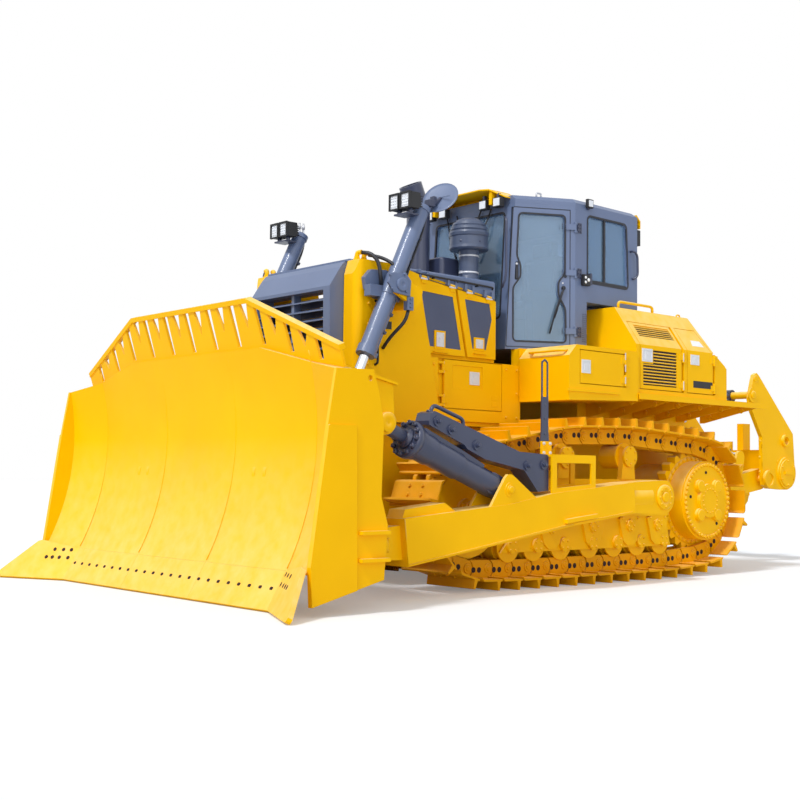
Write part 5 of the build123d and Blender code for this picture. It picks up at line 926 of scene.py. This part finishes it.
def make_cab_trim():
    """Everything small on the cab that the CAD solids leave out."""
    door, shell, bolts, lamps, lenses, handles, roof, silver, visor = shapes(9)
    seal(door, DOOR_WINDOW, 36, 17, -8, 4, *ON_DOOR)
    seal(shell, SIDE_WINDOW, 45, 20, -10, 4, *ON_REAR)
    seal(shell, ((14, 30), (687, 30), (687, 1440), (84, 1440)), 12, 7, -16, 0.8, *ON_DOOR)
    # Divider and sill of the sliding side window
    shell.slab(((474, 742), (502, 742), (502, 1408), (474, 1408)), -34, -8, *ON_REAR)
    shell.slab(((225, 740), (850, 740), (850, 758), (225, 758)), -30, 2, *ON_REAR)
    # Door handle in its pocket, with a lock
    door.slab(corner_cut(((102, 706), (138, 706), (138, 884), (110, 884)), 10), -13.5, -12, *ON_DOOR)
    door.slab(corner_cut(((108, 716), (130, 716), (130, 846), (112, 846)), 8), -12, 4, *ON_DOOR)
    silver.lathe(on_door(122, 866, -12), DOOR_OUT, ((0, 12), (10, 12), (12, 9)), 16)
    # Bolted hinge leaves
    for height in (200, 800, 1270):
        for along in (600, 634):
            for rise in (-22, 0, 22):
                bolts.bolt(on_door(along, height + rise, 14), DOOR_OUT, 15, washer=False)
        handles.slab(
            ((26, height - 52), (92, height - 52), (92, height + 52), (26, height + 52)), 0.5, 9, *ON_REAR
        )
        for along in (44, 76):
            for rise in (-36, 0, 36):
                handles.bolt(on_rear(along, height + rise, 9), REAR_OUT, 16, washer=False)
    # Wiper on the door, swinging from its rear edge
    door.lathe(on_door(618, 640, 0), DOOR_OUT, ((0, 22), (16, 22), (22, 14), (30, 12)), 16)
    door.tube([on_door(618, 640, 26), on_door(590, 560, 24), on_door(520, 330, 14)], 10, 8)
    door.tube([on_door(600, 600, 16), on_door(540, 420, 10), on_door(470, 170, 8)], 9, 8)
    silver.lathe(on_door(612, 690, 0), DOOR_OUT, ((0, 9), (4, 9), (6, 6)), 10)
    door.lathe(on_door(640, 760, 0), DOOR_OUT, ((0, 14), (10, 14), (12, 10)), 10)
    # Grab bar on the front pillar, and the handle at the rear corner
    handles.hose(
        [on_door(-6, 1330, 4), on_door(-6, 1300, 44), on_door(-10, 720, 50), on_door(-40, 610, 20)], 60,
        12, 12
    )
    rear_rail = [
        (-914, 938, 3440), (-914, 990, 3440), (-975, 985, 3400), (-985, 982, 3190), (-960, 960, 3150),
        (-950, 934, 3150)
    ]
    handles.hose(rear_rail, 40, 12, 12)
    # Perforated strip behind the hinge line
    for row in range(15):
        for column in range(4):
            shell.lathe(
                (-118 - 20 * column, 931.5 - 1.5 * column + 20, 2410 + 20 * row), Y, ((0, 5), (0.8, 5)), 6
            )
    # Work lamps: corner, side cluster, visor pair and rear pair
    lamps.box((-238, 958, 3796), (-150, 992, 3886))
    lenses.box((-226, 990, 3808), (-162, 996, 3874))
    handles.box((-210, 930, 3782), (-178, 965, 3800))
    lamps.box((-196, 945, 2985), (-92, 988, 3098))
    lenses.lathe((-120, 988, 3066), Y, ((0, 15), (5, 14), (8, 8)), 16)
    lenses.lathe((-120, 988, 3018), Y, ((0, 15), (5, 14), (8, 8)), 16)
    lenses.lathe((-166, 988, 3044), Y, ((0, 19), (5, 18), (8, 10)), 16)
    handles.box((-236, 946, 3000), (-206, 978, 3120))
    for y in (300, 500):
        lamps.box((628, y - 52, 3748), (692, y + 52, 3846))
        lenses.box((690, y - 42, 3758), (697, y + 42, 3836))
        handles.box((640, y - 12, 3842), (676, y + 12, 3892))
    # The rear pair of lamps under the rear visor
    for y in (560, 860):
        lamps.box((-1110, y - 60, 3530), (-1046, y + 60, 3700))
        lenses.box((-1116, y - 50, 3545), (-1108, y + 50, 3685))
    visor.side_slab(
        ((-1036, 3858), (-1104, 3800), (-1104, 3716), (-1096, 3716), (-1090, 3790), (-1036, 3836)), 450,
        925
    )
    # Windscreen wipers, hanging under the visor
    for foot_y, tip_y in ((330, 120), (180, -60)):
        shell.tube([(590, foot_y, 3770), (628, (foot_y + tip_y) / 2, 3500), (640, tip_y, 3260)], 8, 8)
        shell.tube([(612, foot_y - 60, 3560), (634, tip_y - 10, 3240)], 10, 8)
    # Lifting loops on the roof
    roof.hose([(255, 708, 3866), (255, 708, 3916), (325, 708, 3916), (325, 708, 3866)], 14, 10, 10)
    roof.hose([(-780, 560, 3868), (-780, 560, 3905), (-860, 560, 3905), (-860, 560, 3868)], 14, 9, 8)
    make_pairs(
        (door, "door_seal", "cab_door_{side}", RUBBER),
        (silver, "door_lock", "cab_door_{side}", STEEL),
        (bolts, "door_hinge_bolts", "cab_door_{side}", DARK),
        (shell, "cab_seals", "chassis", RUBBER),
        (handles, "cab_handles", "chassis", DARK),
        (lamps, "cab_lamps", "chassis", BLACK, 3.0),
        (lenses, "cab_lenses", "chassis", LED),
        (roof, "roof_loops", "chassis", STEEL),
        (visor, "rear_visor", "chassis", YELLOW),
    )
    screen = Shape()
    seal(screen, SCREEN, 40, 20, -12, 3, SCREEN_FOOT, Y, SCREEN_UP, SCREEN_OUT)
    screen.piece("screen_seal", "chassis", RUBBER)


def make_interior():
    """Seat cushions, steering wheel and column, and screens inside the cab."""
    cushion, plastic = shapes(2)
    cushion.side_slab(
        corner_cut(((-500, 2802), (10, 2812), (26, 2850), (-10, 2892), (-470, 2872), (-520, 2840)), 24),
        -232, 232
    )
    cushion.side_slab(
        corner_cut(((-470, 2880), (-420, 2900), (-520, 3400), (-585, 3430), (-600, 3400)), 26), -222, 222
    )
    cushion.side_slab(corner_cut(((-548, 3440), (-520, 3470), (-538, 3590), (-572, 3608)), 14), -128, 128)
    plastic.lathe((318, 0, 3110), (0.35, 0, 1), ((0, 26), (120, 24)), 16)
    turns = [2 * math.pi * step / 24 for step in range(25)]
    wheel = [(300 + 150 * math.cos(a) * 0.3, 150 * math.sin(a), 3210 + 60 * math.cos(a)) for a in turns]
    plastic.tube(wheel, 12, 8)
    plastic.box((330, -420, 3120), (360, -330, 3330))
    plastic.box((300, 330, 3060), (330, 420, 3230))
    cushion.piece("seat_cushions", "chassis", FABRIC, 12.0)
    plastic.piece("cab_controls", "chassis", INTERIOR, 2.0)


# ---- Ripper ----
def make_ripper_trim():
    """Pin covers, hoses and clamps on the ripper."""
    caps, mount, hoses, tilt_hoses, fittings = shapes(5)
    caps.box((-4470, 704, 1092), (-4300, 722, 1134))
    ring(caps, (-4386, 704, 1113), Y, 150, 6, 24)
    caps.lathe((-3643, 684, 2059), Y, ((0, 50), (8, 50), (12, 40), (12, 16)), 24)
    caps.lathe((-3722, 670, 2262), Y, ((0, 44), (6, 44), (6, 32)), 24)
    caps.lathe((-4210, 670, 1250), Y, ((0, 26), (5, 26)), 16)
    for x, z in ((-3800, 1500), (-3790, 1300), (-3790, 1120)):
        caps.bolt((x, 670, z), Y, 30)
    mount.lathe((-2780, 610, 833), Y, ((0, 92), (10, 92), (14, 84), (14, 30), (8, 24)), 32)
    ring(mount, (-2780, 620, 833), Y, 66, 6, 20)
    mount.lathe((-2446, 465, 1861), Y, ((0, 58), (8, 58), (12, 48)), 24)
    mount.hose([(-2420, 350, 1880), (-2420, 350, 1990), (-2480, 350, 1990), (-2480, 350, 1880)], 24, 10, 10)
    for y in (470, 540):
        hoses.hose(
            [(-2440, y - 60, 1720), (-2540, y - 20, 1400), (-2700, y, 1330), (-2900, y, 1480),
            (-3060, y - 20, 1560)], 140, 13, 10
        )
    tilt_hoses.hose(
        [(-2440, 300, 1760), (-2600, 300, 1700), (-2760, 320, 1900), (-2900, 330, 2010)], 120, 12, 10
    )
    tilt_hoses.hose(
        [(-2440, 390, 1760), (-2620, 390, 1660), (-2800, 380, 1820), (-3000, 370, 1990)], 120, 12, 10
    )
    for y in (300, 390):
        fittings.lathe((-2400, y, 1760), X * -1, ((0, 24), (20, 24), (24, 18)), 6)
    cover = Shape()
    cover.side_slab(((-3852, 1500), (-3852, 1204), (-3872, 1204), (-3872, 1500)), -240, 240)
    cover.piece("carriage_front_plate", "ripper_carriage", YELLOW)
    make_pairs(
        (caps, "carriage_caps", "ripper_carriage", YELLOW),
        (mount, "ripper_mount_caps", "chassis", YELLOW),
        (hoses, "ripper_hoses", "ripper_lift_barrels", STEEL),
        (tilt_hoses, "ripper_tilt_hoses", "ripper_tilt_cylinders", STEEL),
        (fittings, "ripper_fittings", "chassis", DARK),
    )


make_tracks()
make_running_gear()
make_blade_trim()
make_arm_trim()
make_lift_trim()
make_nose_trim()
make_engine_doors()
make_rear_body()
make_cab_trim()
make_interior()
make_ripper_trim()


# ---- Camera, floor and light ----
FLOOR_GLOW = 0.2              # brings the lit floor up to white and leaves the shadow grey
FLOOR_REACH = 120.0
WORLD_LEVEL = 0.42


def make_camera():
    """The photograph's view: low, in front of the machine's left corner."""
    yaw, pitch, roll = math.radians(228.62), math.radians(3.534), math.radians(0.689)
    ahead = Vector((math.cos(yaw) * math.cos(pitch), math.sin(yaw) * math.cos(pitch), math.sin(pitch)))
    right = ahead.cross(Z).normalized()
    up = right.cross(ahead)
    turned_right = right * math.cos(roll) + up * math.sin(roll)
    turned_up = up * math.cos(roll) - right * math.sin(roll)
    data = bpy.data.cameras.new("camera")
    data.lens = 55.375
    data.sensor_width = 36.0
    data.clip_end = 400.0
    camera = placed("camera", data)
    axes = Matrix((turned_right, turned_up, -ahead)).transposed()
    camera.matrix_world = Matrix.Translation((9.545, 9.108, 1.016)) @ axes.to_4x4()
    bpy.context.scene.camera = camera


def seen_by(nodes, links, *rays):
    """One for these kinds of ray, and zero for all others."""
    path = node(nodes, "LightPath")
    seen = path.outputs[rays[0]]
    for ray in rays[1:]:
        seen = combine(nodes, links, "MAXIMUM", seen, path.outputs[ray]).outputs[0]
    return seen


def make_floor():
    """A pale floor that shows white where lit and keeps the machine's shadow."""
    mesh = bpy.data.meshes.new("floor")
    corners = [(FLOOR_REACH * x, FLOOR_REACH * y, 0) for x, y in ((-1, -1), (1, -1), (1, 1), (-1, 1))]
    mesh.from_pydata(corners, [], [(0, 1, 2, 3)])
    floor = placed("floor", mesh)
    material, nodes, links, shader = new_material("floor_white")
    shader.inputs["Roughness"].default_value = 0.9
    shader.inputs["Specular IOR Level"].default_value = 0.1
    cloud = node(nodes, "TexNoise", Scale=0.6)
    tone = node(nodes, "ValToRGB")
    tone.color_ramp.elements[0].color = (0.76, 0.80, 0.85, 1)
    tone.color_ramp.elements[1].color = (0.79, 0.83, 0.88, 1)
    links.new(cloud.outputs["Fac"], tone.inputs["Fac"])
    links.new(tone.outputs["Color"], shader.inputs["Base Color"])
    glow = node(nodes, "Emission", Color=(1, 1, 1, 1))
    seen = seen_by(nodes, links, "Is Camera Ray", "Is Transmission Ray")
    strength = combine(nodes, links, "MULTIPLY", seen, FLOOR_GLOW)
    links.new(strength.outputs[0], glow.inputs["Strength"])
    total = node(nodes, "AddShader")
    links.new(shader.outputs["BSDF"], total.inputs[0])
    links.new(glow.outputs["Emission"], total.inputs[1])
    links.new(total.outputs["Shader"], nodes["Material Output"].inputs["Surface"])
    mesh.materials.append(material)


def make_light():
    """Even studio light: a key from above and ahead, and a soft fill from the camera's side."""
    world = bpy.data.worlds.new("studio")
    bpy.context.scene.world = world
    world.use_nodes = True
    nodes, links = world.node_tree.nodes, world.node_tree.links
    sky = nodes["Background"]
    sky.inputs["Color"].default_value = (1.0, 1.0, 1.0, 1)
    seen = seen_by(nodes, links, "Is Camera Ray", "Is Transmission Ray", "Is Glossy Ray")
    level = node(nodes, "MapRange", To_Min=WORLD_LEVEL, To_Max=1.0)
    links.new(seen, level.inputs["Value"])
    links.new(level.outputs["Result"], sky.inputs["Strength"])
    for name, towards, power, angle in (
        ("key", (-0.8, -0.16, -1.0), 2.05, 9.0),
        ("fill", (-0.62, -0.95, -0.3), 1.2, 80.0),
    ):
        data = bpy.data.lights.new(name, "SUN")
        data.energy = power
        data.angle = math.radians(angle)
        placed(name, data).rotation_euler = Vector(towards).to_track_quat("-Z", "Y").to_euler()


bpy.context.scene.view_settings.view_transform = "Standard"
make_camera()
make_floor()
make_light()
